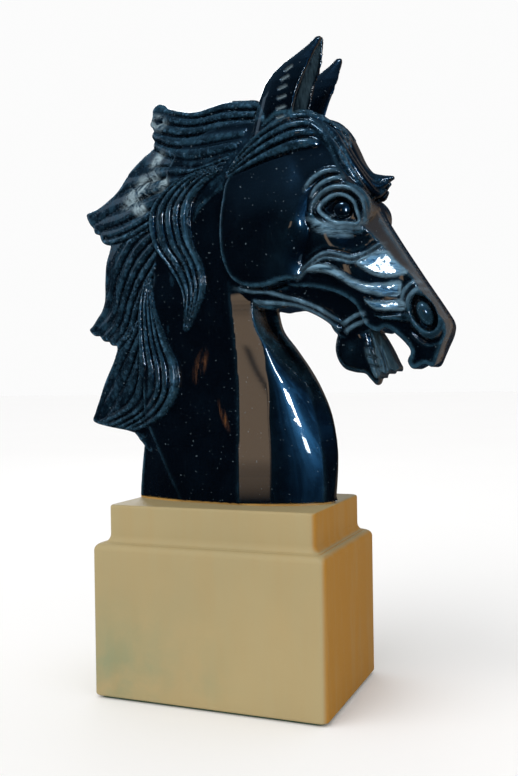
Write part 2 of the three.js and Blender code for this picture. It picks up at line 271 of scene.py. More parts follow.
mane = {
    "outline": [
        (-52, 150), (-62, 154.4), (-67, 159), (-74, 161.6), (-88, 163.4), (-104, 167), (-102.5, 174),
        (-99, 182), (-94, 194), (-86, 208), (-82, 217), (-87, 218), (-90, 221), (-94, 221), (-98, 225),
        (-102, 225), (-106, 229), (-103, 232), (-99, 237), (-95, 242), (-92.4, 250), (-92, 260),
        (-90.4, 272), (-87, 280), (-86, 284), (-91, 285.5), (-94, 288), (-95.5, 292), (-99.5, 293.5),
        (-101, 297), (-104, 300), (-107, 305), (-106.5, 308), (-98, 310), (-90, 314), (-80, 321),
        (-72, 332), (-62, 340), (-54, 344), (-51.5, 348), (-53.5, 352), (-53, 357), (-55.8, 361),
        (-54.5, 366), (-54.8, 371), (-51, 374.6), (-46, 373), (-42, 370), (-30, 366), (-20, 365),
        (-10, 367), (2, 368.4), (12, 367.4), (24, 364), (34, 345), (20, 318), (-10, 300), (-30, 260),
        (-36, 220), (-38, 180),
    ],
    "depths": [
        (-52, 372, 4), (-30, 364, 8), (-5, 366, 9), (20, 362, 12), (-46, 356, 9), (0, 352, 16), (5, 335, 22),
        (-30, 345, 14), (-30, 325, 18), (-58, 335, 7), (-62, 318, 11), (-55, 300, 17), (-80, 312, 7),
        (-103, 305, 3.5), (-93, 291, 6), (-75, 288, 11), (-45, 285, 20), (-86, 262, 7), (-68, 262, 14),
        (-50, 255, 18.5), (-92, 240, 5), (-104, 229, 3.5), (-78, 226, 9), (-62, 225, 15), (-84, 203, 6),
        (-68, 195, 12), (-50, 200, 19), (-102, 169, 3), (-84, 172, 7), (-66, 166, 11), (-48, 168, 18),
        (-36, 200, 23), (-30, 240, 23),
    ],
    "rounding": 2.6,
    "strandHeight": 3.6,
    "strandMiddle": 0.6,  # the part of a strand's height that lies on the depth map
    "thinEdge": (2, 14),  # strands are flat where the mane is thin, and full where it is thick
    "groups": [
        # a comb of strands each: how many, and guide lines from one side of the group to the other
        (5, [
            [(24, 364), (0, 368), (-20, 365), (-36, 369), (-53, 376)],
            [(22, 355), (2, 357), (-18, 356), (-34, 359), (-57, 366)],
            [(18, 345), (0, 345), (-18, 345), (-34, 347), (-56, 355)],
            [(12, 333), (-6, 331), (-22, 331), (-38, 336), (-53, 345)],
        ]),
        (5, [
            [(8, 330), (-16, 326), (-40, 331), (-68, 332), (-108, 308)],
            [(4, 325), (-20, 319), (-44, 317), (-74, 312), (-104, 300)],
            [(2, 321), (-24, 312), (-46, 302), (-72, 295), (-97, 291)],
            [(-14, 312), (-34, 302), (-50, 292), (-68, 286), (-88, 284)],
        ]),
        (5, [
            [(-44, 298), (-66, 290), (-84, 272), (-92, 248), (-107, 229)],
            [(-44, 288), (-62, 276), (-76, 256), (-84, 238), (-98, 224)],
            [(-44, 276), (-58, 262), (-68, 246), (-76, 230), (-89, 219)],
            [(-46, 262), (-54, 250), (-61, 238), (-67, 224), (-80, 215)],
        ]),
        (4, [
            [(-62, 234), (-79, 216), (-91, 200), (-99, 184), (-106, 168)],
            [(-60, 224), (-71, 208), (-81, 194), (-91, 180), (-101, 165)],
            [(-58, 214), (-63, 200), (-70, 188), (-80, 176), (-92, 162)],
            [(-52, 204), (-54, 190), (-58, 178), (-64, 168), (-70, 157)],
        ]),
    ],
}


def maneLayer():
    depth = hills(mane["depths"])
    for strands, guides in mane["groups"]:
        profile, within = comb(guides, strands)
        lift = np.where(within, profile - mane["strandMiddle"], 0)
        depth += mane["strandHeight"] * lift * fade(depth, *mane["thinEdge"])
    made = layer(mane["outline"], depth, mane["rounding"])
    made["hair"] = 1
    return made


foreLocks = {
    # the three locks that lie on top: guide lines from the front edge to the back edge
    "upper": {
        "guides": [
            [(4, 322), (-10, 313), (-17.5, 300), (-17, 281), (-9, 263), (-9, 247), (-21, 225)],
            [(2, 323), (-14, 316), (-26, 301), (-25, 282), (-16, 264), (-14, 247), (-22, 225)],
            [(0, 324), (-20, 317), (-35, 301), (-34, 281), (-23, 264), (-18.5, 247), (-23, 225)],
            [(-2, 325), (-27, 318), (-47, 302), (-46, 281), (-33, 264), (-24, 248), (-24, 225)],
        ],
        "strands": 4.5,
        "depths": [(0, 322, 26), (-16, 312, 27.5), (-30, 300, 27.5), (-46, 300, 22), (-18, 280, 29),
                   (-45, 280, 22), (-12, 262, 29), (-30, 262, 25.5), (-12, 245, 27.5), (-24, 245, 25.5),
                   (-22, 224, 24.5)],
        "height": 3.8,
        "rounding": 1.6,
    },
    "lower": {
        "guides": [
            [(-48, 258), (-45, 240), (-37, 220), (-29, 203), (-30, 185), (-43, 170), (-64, 162)],
            [(-50, 259), (-48, 240), (-44, 220), (-39, 202), (-40, 186), (-52, 173), (-74, 163)],
            [(-52, 259), (-53, 240), (-51, 220), (-48, 202), (-50, 187), (-62, 175), (-86, 165)],
            [(-54, 259), (-59, 240), (-59, 221), (-60, 202), (-65, 189), (-77, 177), (-100, 168)],
        ],
        "strands": 5,
        "depths": [(-49, 262, 20), (-46, 240, 23), (-58, 240, 19), (-36, 215, 26.5), (-58, 215, 20),
                   (-30, 200, 27), (-60, 200, 18.5), (-33, 182, 26.5), (-66, 186, 14), (-50, 170, 21),
                   (-70, 170, 12.5), (-90, 167, 6)],
        "height": 3.8,
        "rounding": 1.6,
    },
    "brow": {
        "guides": [
            [(8, 319), (22, 334), (37, 344.5), (51, 350.5), (65, 349), (79, 340)],
            [(8.5, 318), (23, 330), (38, 339), (52, 344), (66, 343), (80, 336)],
            [(9, 317), (25, 326), (41, 333), (54, 336.5), (67, 336), (80, 331)],
            [(10, 315), (27, 321), (43, 325), (54, 327), (66, 327), (79, 324)],
        ],
        "strands": 4,
        "depths": [(9, 317, 29), (30, 330, 31), (50, 338, 30), (62, 338, 27), (72, 334, 20.5),
                   (79, 331, 12), (45, 348, 28), (64, 348, 22), (78, 340, 9), (50, 326, 31),
                   (66, 327, 27), (78, 324, 16)],
        "height": 3.8,
        "rounding": 1.4,
    },
}


def lockLayer(lock, middle=0.7):
    # middle is the part of a strand's height that lies on the depth map
    profile, within = comb(lock["guides"], lock["strands"])
    depth = hills(lock["depths"]) + lock["height"] * np.where(within, profile - middle, -middle)
    outline = lock["guides"][0] + lock["guides"][-1][::-1]
    made = layer(outline, depth, lock["rounding"])
    made["hair"] = 0.6  # share of the hair's colouring
    return made


head = {
    "outline": [
        (50, 352), (62, 352), (70, 346), (77, 336), (83, 323), (88.5, 311), (94, 299), (98, 291),
        (102, 284), (110.5, 270), (122.5, 251), (134.5, 232.5), (138, 226), (138, 220), (134, 210),
        (131, 202.5), (127, 199.6), (123.5, 201.4), (116.6, 198.6), (113.4, 203.2), (115.6, 208.8),
        (112.6, 214), (107, 219.6), (102.4, 222.6), (98, 220.6), (94, 222), (90, 226), (86, 236), (76, 243),
        (62, 247), (45, 250), (30, 262), (20, 280), (15, 310), (25, 335), (38, 350),
    ],
    "depths": [
        (30, 340, 22), (55, 338, 27), (70, 326, 27), (58, 312, 31), (72, 314, 29), (84, 302, 28),
        (64, 292, 31.5), (80, 291, 29.5), (92, 288, 27.5), (68, 276, 32), (86, 276, 26.8), (55, 268, 28.5),
        (40, 290, 33), (100, 268, 24.6), (84, 262, 28.5), (66, 254, 29), (112, 252, 20.5), (98, 246, 23.5),
        (84, 245, 26.5), (126, 232, 18.5), (116, 228, 18.5), (102, 230, 20), (94, 234, 22),
        (133, 218, 15), (126, 207, 13), (116, 203, 11.5), (45, 252, 25), (25, 270, 30), (20, 310, 26),
    ],
    "noseLine": [(60, 356), (70, 346), (77, 336), (83, 323), (88.5, 311), (94, 299), (98, 291),
                 (102, 284), (110.5, 270), (122.5, 251), (134.5, 232.5), (138.5, 225), (138, 218),
                 (134, 209), (130, 200)],
    "bridge": [(0, 3), (0.6, 9), (1.4, 12.5)],  # half thickness behind the nose line
    "bridgeSide": [(244, 5), (258, 2.2), (278, 1.7)],  # how fast the side of the nose widens, at each height
    "forehead": [(0, 4), (0.8, 13), (3, 21), (7, 27), (12, 32), (20, 46)],  # the same for the forehead
    "browHeight": (297, 306),  # between the bridge and the forehead
    "noseReach": 20,
    "rounding": 0.8,
}

eye = {
    "opening": [(69, 291), (72.4, 295.4), (77, 297.8), (82, 297.4), (86.4, 294.2), (88, 289.5), (89.4, 283),
                (84, 283.6), (78.6, 284), (73.4, 286.8)],
    "rim": [(63.5, 290), (66, 296.6), (71, 301.2), (77.5, 303.4), (85, 302.4), (90.6, 298), (93.4, 291.5),
            (93.4, 284), (91.6, 280.5)],
    "ball": {"x": 80.4, "z": 290.8, "radius": 5.6, "height": 3.6},
    "swell": (1.6, 6),  # height, and reach from the rim
    "sunk": (2.8, -0.3, 1.4),  # depth, and how far inside the opening it starts and is full
    "lids": [(1.8, 1.1, 1.6), (-1.9, 3.8, 1.5)],  # height, distance outside the opening, half width
    "rimSize": (1.5, 2.0),  # height and half width of this and of the next ridges
    "browSize": (2.3, 2.1, 0.7),  # and roundness
    "browGroove": (-1.2, 1.5),
    "browGrooveShift": (0.8, -2.2),
    "padSize": (2.6, 4.0),
    "brows": [
        [(59, 301), (61.4, 306.4), (66, 310.8), (72, 313.4), (79, 313.4)],
        [(63, 297.4), (66, 303), (70.8, 306.8), (76.4, 308.8), (82, 308.6)],
    ],
    "socket": [(57, 290), (62, 299.5), (69, 305.5), (78, 307.4), (88, 304.8), (94.4, 299.4), (96.8, 293),
               (95.4, 285), (90, 279.6), (80, 277), (68, 278), (59, 283)],
    "rounding": 2.8,
    "lowerPad": [(58, 286.5), (64, 284.8), (72, 281.8), (81, 280.6), (89, 279.6), (93, 279.5)],
}

muzzle = {
    "crest": [(51, 253), (58, 258.4), (65, 263), (71, 265), (79, 263.6), (86, 261.8), (93, 264),
              (99, 267.6), (104.5, 270.4)],
    "leaf": [(87.6, 259.4), (92, 263.6), (99, 266), (105.7, 266.4), (110, 261), (116.6, 254),
             (111, 251.2), (104.8, 250.2), (98, 251.6), (92, 255)],
    "longBand": [(58, 256), (64, 260), (71, 260.6), (79, 256.6), (86, 251.6), (94, 248.8), (103, 248.4),
                 (112, 249.4), (112.6, 244.6), (111.6, 240.4), (103, 240), (95, 241.4), (87, 244.6),
                 (79, 249.6), (71, 254)],
    "middleBand": [(91, 239.6), (97, 238.6), (105, 238), (113.6, 238.6), (115, 232.4), (107, 231.6),
                   (99, 231.8), (94, 234.6)],
    "lowerBand": [(96, 230.2), (103, 230), (115.6, 230.4), (116.8, 225), (109, 226), (101, 226.8)],
    "pads": {
        # height, width of the bevel, and how far it leans along x and z
        "leaf": (2.2, 2.4, (-0.22, 0.0)),
        "longBand": (3.0, 2.2, (-0.23, 0.0)),
        "middleBand": (3.0, 1.8, (-0.36, -0.06)),
        "lowerBand": (2.2, 1.4, (-0.12, 0.0)),
    },
    "crestLines": [(1.2, 1.2), (-1.6, 1.2), (-0.2, -1.0), (3.4, -0.6)],  # shift upwards, and height
    "crestWidth": 1.3,  # from a line's middle to its edge
    "foldSize": (2.2, 1.9, 0.8),  # height, half width and roundness
    "lipSize": (-1.6, 1.8),  # height and half width
    "nostril": {
        "x": 125,
        "z": 230.2,
        "halfWidth": 7.4,
        "halfHeight": 12.4,
        "lean": 0.42,
        "rings": [(3.0, 1.7, 0.9), (-6.0, 0.98, 0.72)],  # flare and hole: height, where it starts and is full
        "bead": (5.6, 0.62),  # height, and size beside the nostril's
    },
    "folds": [
        [(112.6, 234), (113.6, 241), (117.6, 246.6), (123, 248.6)],
        [(115.6, 233), (117.4, 239.4), (121.4, 243.4), (126.6, 244)],
    ],
    "lip": [(117.5, 222), (121.5, 217), (127, 214), (132.5, 215.6), (136.5, 220.5)],
}


def carveEye(depth):
    almond = outlineDistance(eye["opening"], 12)
    swell, reach = eye["swell"]
    depth += swell * fade(distanceTo(smoothLine(eye["rim"], 10), reach)[0], reach, 0)
    sunk, start, full = eye["sunk"]
    depth -= sunk * fade(-almond, start, full)
    for height, away, halfWidth in eye["lids"]:
        depth += height * np.clip(1 - ((almond - away) / halfWidth) ** 2, 0, 1)
    ridge(depth, eye["rim"], *eye["rimSize"])
    right, up = eye["browGrooveShift"]
    for line in eye["brows"]:
        ridge(depth, line, *eye["browSize"], taper=0.4)
        ridge(depth, [(x + right, z + up) for x, z in line], *eye["browGroove"])
    ridge(depth, eye["lowerPad"], *eye["padSize"], taper=0.3)
    ball = eye["ball"]
    away = np.hypot(mapX - ball["x"], mapZ - ball["z"]) / ball["radius"]
    depth += ball["height"] * np.sqrt(np.clip(1 - away**2, 0, 1))


def carveMuzzle(depth):
    for shift, height in muzzle["crestLines"]:
        ridge(depth, [(x, z + shift) for x, z in muzzle["crest"]], height, muzzle["crestWidth"])
    for name, size in muzzle["pads"].items():
        pad(depth, muzzle[name], *size)
    for line in muzzle["folds"]:
        ridge(depth, line, *muzzle["foldSize"], taper=0.3)
    ridge(depth, muzzle["lip"], *muzzle["lipSize"])
    hole = muzzle["nostril"]
    dx = mapX - hole["x"]
    dz = mapZ - hole["z"]
    wide = (dx * math.cos(hole["lean"]) + dz * math.sin(hole["lean"])) / hole["halfWidth"]
    high = (-dx * math.sin(hole["lean"]) + dz * math.cos(hole["lean"])) / hole["halfHeight"]
    away = np.hypot(wide, high)
    for height, start, full in hole["rings"]:
        depth += height * fade(away, start, full)
    bead, size = hole["bead"]
    depth += bead * np.sqrt(np.clip(1 - (away / size) ** 2, 0, 1))


def headLayer():
    depth = hills(head["depths"])
    carveEye(depth)
    carveMuzzle(depth)
    fromNose = distanceTo(smoothLine(head["noseLine"], 10), head["noseReach"])[0]
    behind = head["bridge"][-1][0]
    widening = np.interp(mapZ, *zip(*head["bridgeSide"]))
    nose = np.interp(fromNose, *zip(*head["bridge"])) + widening * np.maximum(fromNose - behind, 0)
    forehead = np.interp(fromNose, *zip(*head["forehead"]))
    depth = np.minimum(depth, nose + (forehead - nose) * fade(mapZ, *head["browHeight"]))
    return layer(head["outline"], depth, head["rounding"])


cheek = {
    "outline": [
        (9, 315), (5.5, 302), (4, 290), (4, 277), (5.5, 266), (9, 257.5), (14.5, 252), (22, 249.2),
        (32, 248.8), (42, 251.2), (52, 252.6), (61, 252.4), (72, 258), (84, 272), (86, 290), (78, 306),
        (68, 322), (54, 327), (40, 325), (24, 320.5),
    ],
    "depths": [
        (4, 290, 31), (9, 260, 30.5), (20, 250, 30), (34, 249.5, 31), (47, 252, 31), (36, 285, 36.6),
        (20, 288, 34.8), (40, 308, 33.8), (25, 316, 30.5), (10, 312, 29.5), (55, 300, 34.6),
        (57, 284, 36), (64, 286.4, 30.5), (73, 289, 23), (69, 303, 27.5), (77, 303, 21), (60, 320, 28),
        (45, 264, 35.2), (49, 272, 36), (57, 263, 27.4), (61, 270, 28.6), (68, 262, 22.5), (84, 280, 18),
    ],
    "rounding": 2.2,
}

jaw = {
    "outline": [
        (14, 250), (24, 256), (60, 256), (80, 250), (90, 240), (94, 231), (93, 222), (84, 218), (75, 218),
        (70.5, 221), (66, 227), (56, 233.2), (45, 236.4), (36, 236.4), (30, 236), (20, 240),
    ],
    "depths": [(18, 248, 26), (38, 246, 23.5), (60, 243, 21), (80, 236, 18.5), (92, 230, 17),
               (85, 222, 15.5), (40, 238, 21), (60, 232, 18.5), (74, 224, 16)],
    "ridges": [
        [(10, 249.5), (21, 247), (32, 246), (42, 243), (52, 240), (62, 235.8), (70, 230.6), (77, 226)],
        [(22, 241), (30, 240), (40, 239), (50, 237), (60, 232.6), (68, 227.6), (75, 222)],
    ],
    "topGroove": [(20, 249), (32, 248.6), (44, 251), (54, 252.6), (64, 252), (74, 248.5), (83, 242.5),
                  (90, 234), (92.5, 229)],
    "bands": [
        [(76, 224.5), (81, 228.2), (87, 231), (92, 231.5)],
        [(77, 220.5), (83, 224.4), (89, 226.6), (93, 226.8)],
    ],
    "ridgeSize": (2.2, 2.0, 0.8),  # height, half width and roundness
    "bandSize": (2.2, 2.1, 0.7),
    "grooveSize": (-2.4, 2.2),
    "rounding": 5.0,
}

chin = {
    "outline": [(73, 223), (68.6, 214), (69.4, 206), (73.6, 199.8), (80, 197.4), (86, 196.4), (89, 193),
                (92.5, 189.4), (95.6, 192), (96, 205), (94, 218), (84, 226)],
    "depths": [(70, 212, 11), (80, 212, 14.5), (90, 212, 12.5), (80, 200, 11), (92, 192, 7), (84, 224, 15)],
    "rounding": 7.0,
}

teeth = {
    "outline": [(88.4, 216), (91, 220.6), (95, 221.4), (98.4, 217), (102, 210.6), (105.4, 203.4),
                (107.2, 199.4), (105.4, 197.4), (103, 198.6), (101, 196), (98, 197), (95.8, 193.6),
                (93, 196), (89.6, 206)],
    "depth": 13.0,
    "frontDepth": 6,
    "frontLine": [(93, 226), (98.4, 217), (102, 210.6), (105.4, 203.4), (108.4, 196)],
    "frontSlope": 2.2,
    "frontReach": 14,
    "grooveSize": (-2.0, 1.4),  # height and half width
    "chipSize": (-1.2, 1.0),
    "grooves": [
        [(90.6, 221), (92.6, 212), (95, 203), (97, 195)],
        [(94.4, 222), (97, 213), (100, 205), (102.4, 196)],
    ],
    "chips": [
        [(89, 212.4), (94, 211.4)],
        [(90, 207), (96, 205.4)],
        [(91, 201.4), (98, 200)],
    ],
    "rounding": 0.8,
}


def socketLayer():
    depth = hills(head["depths"])
    carveEye(depth)
    return layer(eye["socket"], depth, eye["rounding"])


def cheekLayer():
    return layer(cheek["outline"], hills(cheek["depths"]), cheek["rounding"])


def jawLayer():
    depth = hills(jaw["depths"])
    for line in jaw["ridges"]:
        ridge(depth, line, *jaw["ridgeSize"], taper=0.1)
    for line in jaw["bands"]:
        ridge(depth, line, *jaw["bandSize"], taper=0.2)
    ridge(depth, jaw["topGroove"], *jaw["grooveSize"])
    return layer(jaw["outline"], depth, jaw["rounding"])


def chinLayer():
    return layer(chin["outline"], hills(chin["depths"]), chin["rounding"])


def teethLayer():
    fromFront = distanceTo(smoothLine(teeth["frontLine"], 10), teeth["frontReach"])[0]
    depth = np.minimum(teeth["depth"], teeth["frontDepth"] + teeth["frontSlope"] * fromFront)
    for line in teeth["grooves"]:
        ridge(depth, line, *teeth["grooveSize"], taper=0)
    for line in teeth["chips"]:
        ridge(depth, line, *teeth["chipSize"], taper=0)
    made = layer(teeth["outline"], depth, teeth["rounding"])
    made["tooth"] = 1
    return made


layers = {
    "neck": neckLayer(),
    "mane": maneLayer(),
    "upperLock": lockLayer(foreLocks["upper"]),
    "lowerLock": lockLayer(foreLocks["lower"]),
    "cheek": cheekLayer(),
    "head": headLayer(),
    "socket": socketLayer(),
    "jaw": jawLayer(),
    "chin": chinLayer(),
    "teeth": teethLayer(),
    "browLock": lockLayer(foreLocks["brow"]),
}
print("maps drawn:", len(layers), "layers")


ear = {
    # height, x of the back edge, x of the front edge, half width
    "stations": [
        (322, 20, 44, 7.0),
        (334, 21, 50, 8.0),
        (341, 22.2, 53, 8.4),
        (353, 25.4, 54.6, 8.6),
        (361, 27.5, 56.6, 8.4),
        (370, 31.5, 59.8, 7.8),
        (376, 36.3, 62.4, 7.0),
        (381, 43, 64, 6.0),
        (386, 52, 65.4, 4.6),
        (390, 58.6, 66.8, 3.4),
        (392.6, 61.6, 67.4, 2.6),
        (394.4, 63.6, 67.2, 1.6),
    ],
    "middle": 20.5,  # distance from the middle plane
    "thickest": 0.42,  # how far behind the front edge, as a share of the length, as are the next two
    "backRun": 0.58,
    "frontRun": 0.75,
    "wall": 2.5,
    "slant": 0.5,  # how much the opening turns outwards
    "slantWidth": 5,  # the slant is full where half the ear is wider than this
    "hollowDepth": 0.55,  # share of the ear's length
    "steepness": 0.9,  # brings the slanted faces near to true distances
    "rounding": 0.7,
    "blend": 1.2,
    "low": (16, 6, 318),  # corners of the block that the ear lies in
    "high": (72, 36, 400),
    "notchDepth": 1.1,
    "notchWidth": 0.85,  # from its middle to its edge
    "notchesFrom": 344,
    "notches": [
        ((47, 375), (50.6, 377.4)),
        ((44.6, 370), (48.6, 371.6)),
        ((43, 364.4), (47.4, 365.8)),
        ((42.4, 358.8), (47, 360)),
        ((42, 352.8), (46.4, 353.8)),
        ((42, 347.4), (45.6, 348.2)),
    ],
}

forelock = {
    # tapered strands down the forehead: x, y, z and radius
    "strands": [
        [(62, 3, 346.5, 5), (71, 3.6, 341, 6), (77, 3.8, 330.4, 5.8), (83, 3.6, 319.8, 4.8),
         (90, 3, 312.8, 3.8), (97, 1.8, 311.2, 2.9), (103.6, 0.8, 312.2, 1.1)],
        [(62, 11, 348, 4), (71, 11.6, 340, 4.2), (77.4, 12, 328.6, 4.2), (83.6, 11, 318, 3.9),
         (89.6, 8, 310, 3.3), (95.4, 5, 306.8, 2.6), (101, 2.6, 309, 1.2)],
        [(62, 18.4, 345.4, 3.4), (72.6, 18.8, 335.6, 3.6), (79, 18.2, 324.6, 3.6), (85.4, 15.6, 314.4, 3.3),
         (91, 11, 306.2, 2.9), (95.6, 6.4, 302, 2.3), (99.4, 3.4, 304.2, 1.2)],
        [(62, 25, 341, 2.8), (70.4, 25, 333.4, 3), (76.6, 24.4, 324.6, 3), (82.4, 22.4, 314.8, 2.9),
         (87.8, 18, 306.4, 2.5), (92, 13, 301, 1.6)],
    ],
    "blend": 0.35,
    "reach": 9,  # a strand fills less than this round its points
}


def smoothMin(a, b, blend):
    overlap = np.clip(0.5 + 0.5 * (b - a) / blend, 0, 1)
    return b + (a - b) * overlap - blend * overlap * (1 - overlap)


def roundedMax(a, b, rounding):
    return -smoothMin(-a, -b, rounding)


class Spots:
    # the maps read at any x and z, between their cells

    def __init__(self, x, z):
        across = np.clip((x - sideView["low"][0]) / sideView["step"], 0, mapX.shape[0] - 1.001)
        up = np.clip((z - sideView["low"][1]) / sideView["step"], 0, mapX.shape[1] - 1.001)
        self.i = across.astype(int)
        self.j = up.astype(int)
        self.u = across - self.i
        self.v = up - self.j

    def read(self, values):
        i, j, u, v = self.i, self.j, self.u, self.v
        low = values[i, j] * (1 - u) + values[i + 1, j] * u
        high = values[i, j + 1] * (1 - u) + values[i + 1, j + 1] * u
        return low * (1 - v) + high * v


def earShape(x, y, z):
    # the ear's outside and its hollow, each as a distance that is negative inside
    heights, back, front, halfWidth = (np.array(column) for column in zip(*ear["stations"]))
    backX = np.interp(z, heights, back)
    frontX = np.interp(z, heights, front)
    wide = np.interp(z, heights, halfWidth)
    length = frontX - backX
    out = y - ear["middle"]
    side = out / wide
    centre = frontX - ear["thickest"] * length
    run = (x - centre) / (np.where(x < centre, ear["backRun"], ear["frontRun"]) * length)
    shell = (np.sqrt(run**2 + side**2) - 1) * np.minimum(wide, 0.5 * length)
    opening = frontX - ear["slant"] * out * np.clip(wide / ear["slantWidth"], 0, 1)
    shell = np.maximum(shell, (x - opening) * ear["steepness"])
    inner = np.maximum(wide - ear["wall"], 0.1)
    depth = np.maximum(ear["hollowDepth"] * length, 0.5)
    hollow = (np.sqrt(np.clip((opening - x) / depth, 0, 2) ** 2 + (out / inner) ** 2) - 1) * inner
    shell = np.maximum(np.maximum(shell, z - heights[-1]), heights[0] - z)
    return shell, hollow * ear["steepness"]


def earDistance(x, y, z):
    shell, hollow = earShape(x, y, z)
    return roundedMax(shell, -hollow, ear["rounding"])


def strandDistance(stations, x, y, z):
    best = np.full(x.shape, 1e3)
    line = smoothLine(stations, 4)
    for a, b in zip(line[:-1], line[1:]):
        run = b[:3] - a[:3]
        dx, dy, dz = x - a[0], y - a[1], z - a[2]
        t = np.clip((dx * run[0] + dy * run[1] + dz * run[2]) / (run @ run), 0, 1)
        away = np.sqrt((dx - t * run[0]) ** 2 + (dy - t * run[1]) ** 2 + (dz - t * run[2]) ** 2)
        best = np.minimum(best, away - (a[3] + t * (b[3] - a[3])))
    return best


def addPart(field, x, y, z, low, high, distance, blend):
    # joins a part to the field inside a block
    near = (x > low[0]) & (x < high[0]) & (y > low[1]) & (y < high[1]) & (z > low[2]) & (z < high[2])
    spots = [np.broadcast_to(axis, near.shape)[near] for axis in (x, y, z)]
    field[near] = smoothMin(field[near], distance(*spots), blend)


block = {
    # the stone that half of the horse is carved from, in mm
    "low": np.array([-110.0, 0.0, 117.0]),
    "size": np.array([252.0, 42.0, 284.0]),
    "voxel": 0.95,
    "quickVoxel": 1.25,
    "deepest": 5.0,  # the field is kept this far on each side of the surface
    "layerBlend": 0.7,
    "shadingReach": 0.3,  # over which the slope is taken that the shading follows
}
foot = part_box("horse_head")[0][2] / mm
notchMap = np.zeros(mapX.shape)
for start, end in ear["notches"]:
    ridge(notchMap, [start, end], 1.0, ear["notchWidth"], taper=0)


def carving(x, y, z):
    # about the distance in millimetres from the horse's surface, negative in the stone; y is never negative
    spots = Spots(x, z)
    field = None
    for each in layers.values():
        side = (y - spots.read(each["depth"])) * spots.read(each["steepness"])
        shape = roundedMax(spots.read(each["edge"]), side, each["rounding"])
        field = shape if field is None else smoothMin(field, shape, block["layerBlend"])
    addPart(field, x, y, z, ear["low"], ear["high"], earDistance, ear["blend"])
    for stations in forelock["strands"]:
        points = np.array(stations)
        low = points[:, :3].min(0) - forelock["reach"]
        high = points[:, :3].max(0) + forelock["reach"]
        addPart(field, x, y, z, (low[0], -1, low[2]), high,
                lambda *spot, s=stations: strandDistance(s, *spot), forelock["blend"])
    outside = (y > ear["middle"]) & (z > ear["notchesFrom"])
    field = field + np.where(outside, spots.read(notchMap) * ear["notchDepth"], 0)
    return np.maximum(field, foot - z)


def meshOfHorse(voxel):
    low = block["low"]
    counts = (block["size"] / voxel).astype(int)
    x = (low[0] + voxel * np.arange(counts[0])).reshape(-1, 1, 1)
    y = (voxel * np.arange(counts[1])).reshape(1, -1, 1)
    z = (low[2] + voxel * np.arange(counts[2])).reshape(1, 1, -1)
    half = carving(x, y, z)
    both = np.concatenate([half[:, :0:-1], half], axis=1)
    deepest = block["deepest"]
    grid = openvdb.FloatGrid()
    grid.background = deepest
    grid.copyFromArray(np.ascontiguousarray(np.clip(both, -deepest, deepest), dtype=np.float32))
    points, quads = grid.convertToQuads(isovalue=0.0)
    points = points * voxel + np.array([low[0], -voxel * (counts[1] - 1), low[2]])
    return points, quads


def slopeAt(points, reach):
    # the direction in which the distance to the surface grows
    x, y, z = points.T
    slope = np.column_stack([
        carving(x + reach, np.abs(y), z) - carving(x - reach, np.abs(y), z),
        carving(x, np.abs(y + reach), z) - carving(x, np.abs(y - reach), z),
        carving(x, np.abs(y), z + reach) - carving(x, np.abs(y), z - reach),
    ])
    return slope / (2 * reach)


def settle(points, rounds=3, reach=0.15, least=0.3, most=0.6):
    # moves each point along the slope of the field, onto the carving's exact surface
    for _ in range(rounds):
        value = carving(points[:, 0], np.abs(points[:, 1]), points[:, 2])
        slope = slopeAt(points, reach)
        steep = np.maximum((slope**2).sum(1), least)
        points = points - np.clip(value / steep, -most, most)[:, None] * slope
    points[:, 2] = np.maximum(points[:, 2], foot)
    return points


horsePoints, horseQuads = meshOfHorse(block["voxel"])
horsePoints = settle(horsePoints)
print("horse:", len(horsePoints), "points", len(horseQuads), "faces")


def meshObject(name, points, faces):
    mesh = bpy.data.meshes.new(name)
    mesh.from_pydata([tuple(p) for p in points], [], [tuple(f) for f in faces])
    mesh.update()
    made = bpy.data.objects.new(name, mesh)
    bpy.context.scene.collection.objects.link(made)
    return made


horse = meshObject("carvedHorse", horsePoints * mm, horseQuads.tolist())
horse.data.polygons.foreach_set("use_smooth", [True] * len(horse.data.polygons))
horseNormals = slopeAt(horsePoints, block["shadingReach"])
horseNormals /= np.maximum(np.linalg.norm(horseNormals, axis=1, keepdims=True), 1e-6)
horse.data.normals_split_custom_set_from_vertices(horseNormals.tolist())


def surfaceMap():
    # the outermost depth of all layers, and which of them is on top
    top = np.zeros(mapX.shape)
    hair = np.zeros(mapX.shape)
    tooth = np.zeros(mapX.shape)
    for each in layers.values():
        here = (each["edge"] < 0) & (each["depth"] > top)
        top[here] = each["depth"][here]
        hair[here] = each.get("hair", 0)
        tooth[here] = each.get("tooth", 0)
    return top, hair, tooth


def paint(name, values):
    made = horse.data.attributes.new(name, "FLOAT", "POINT")
    made.data.foreach_set("value", np.ascontiguousarray(values, dtype=np.float32))


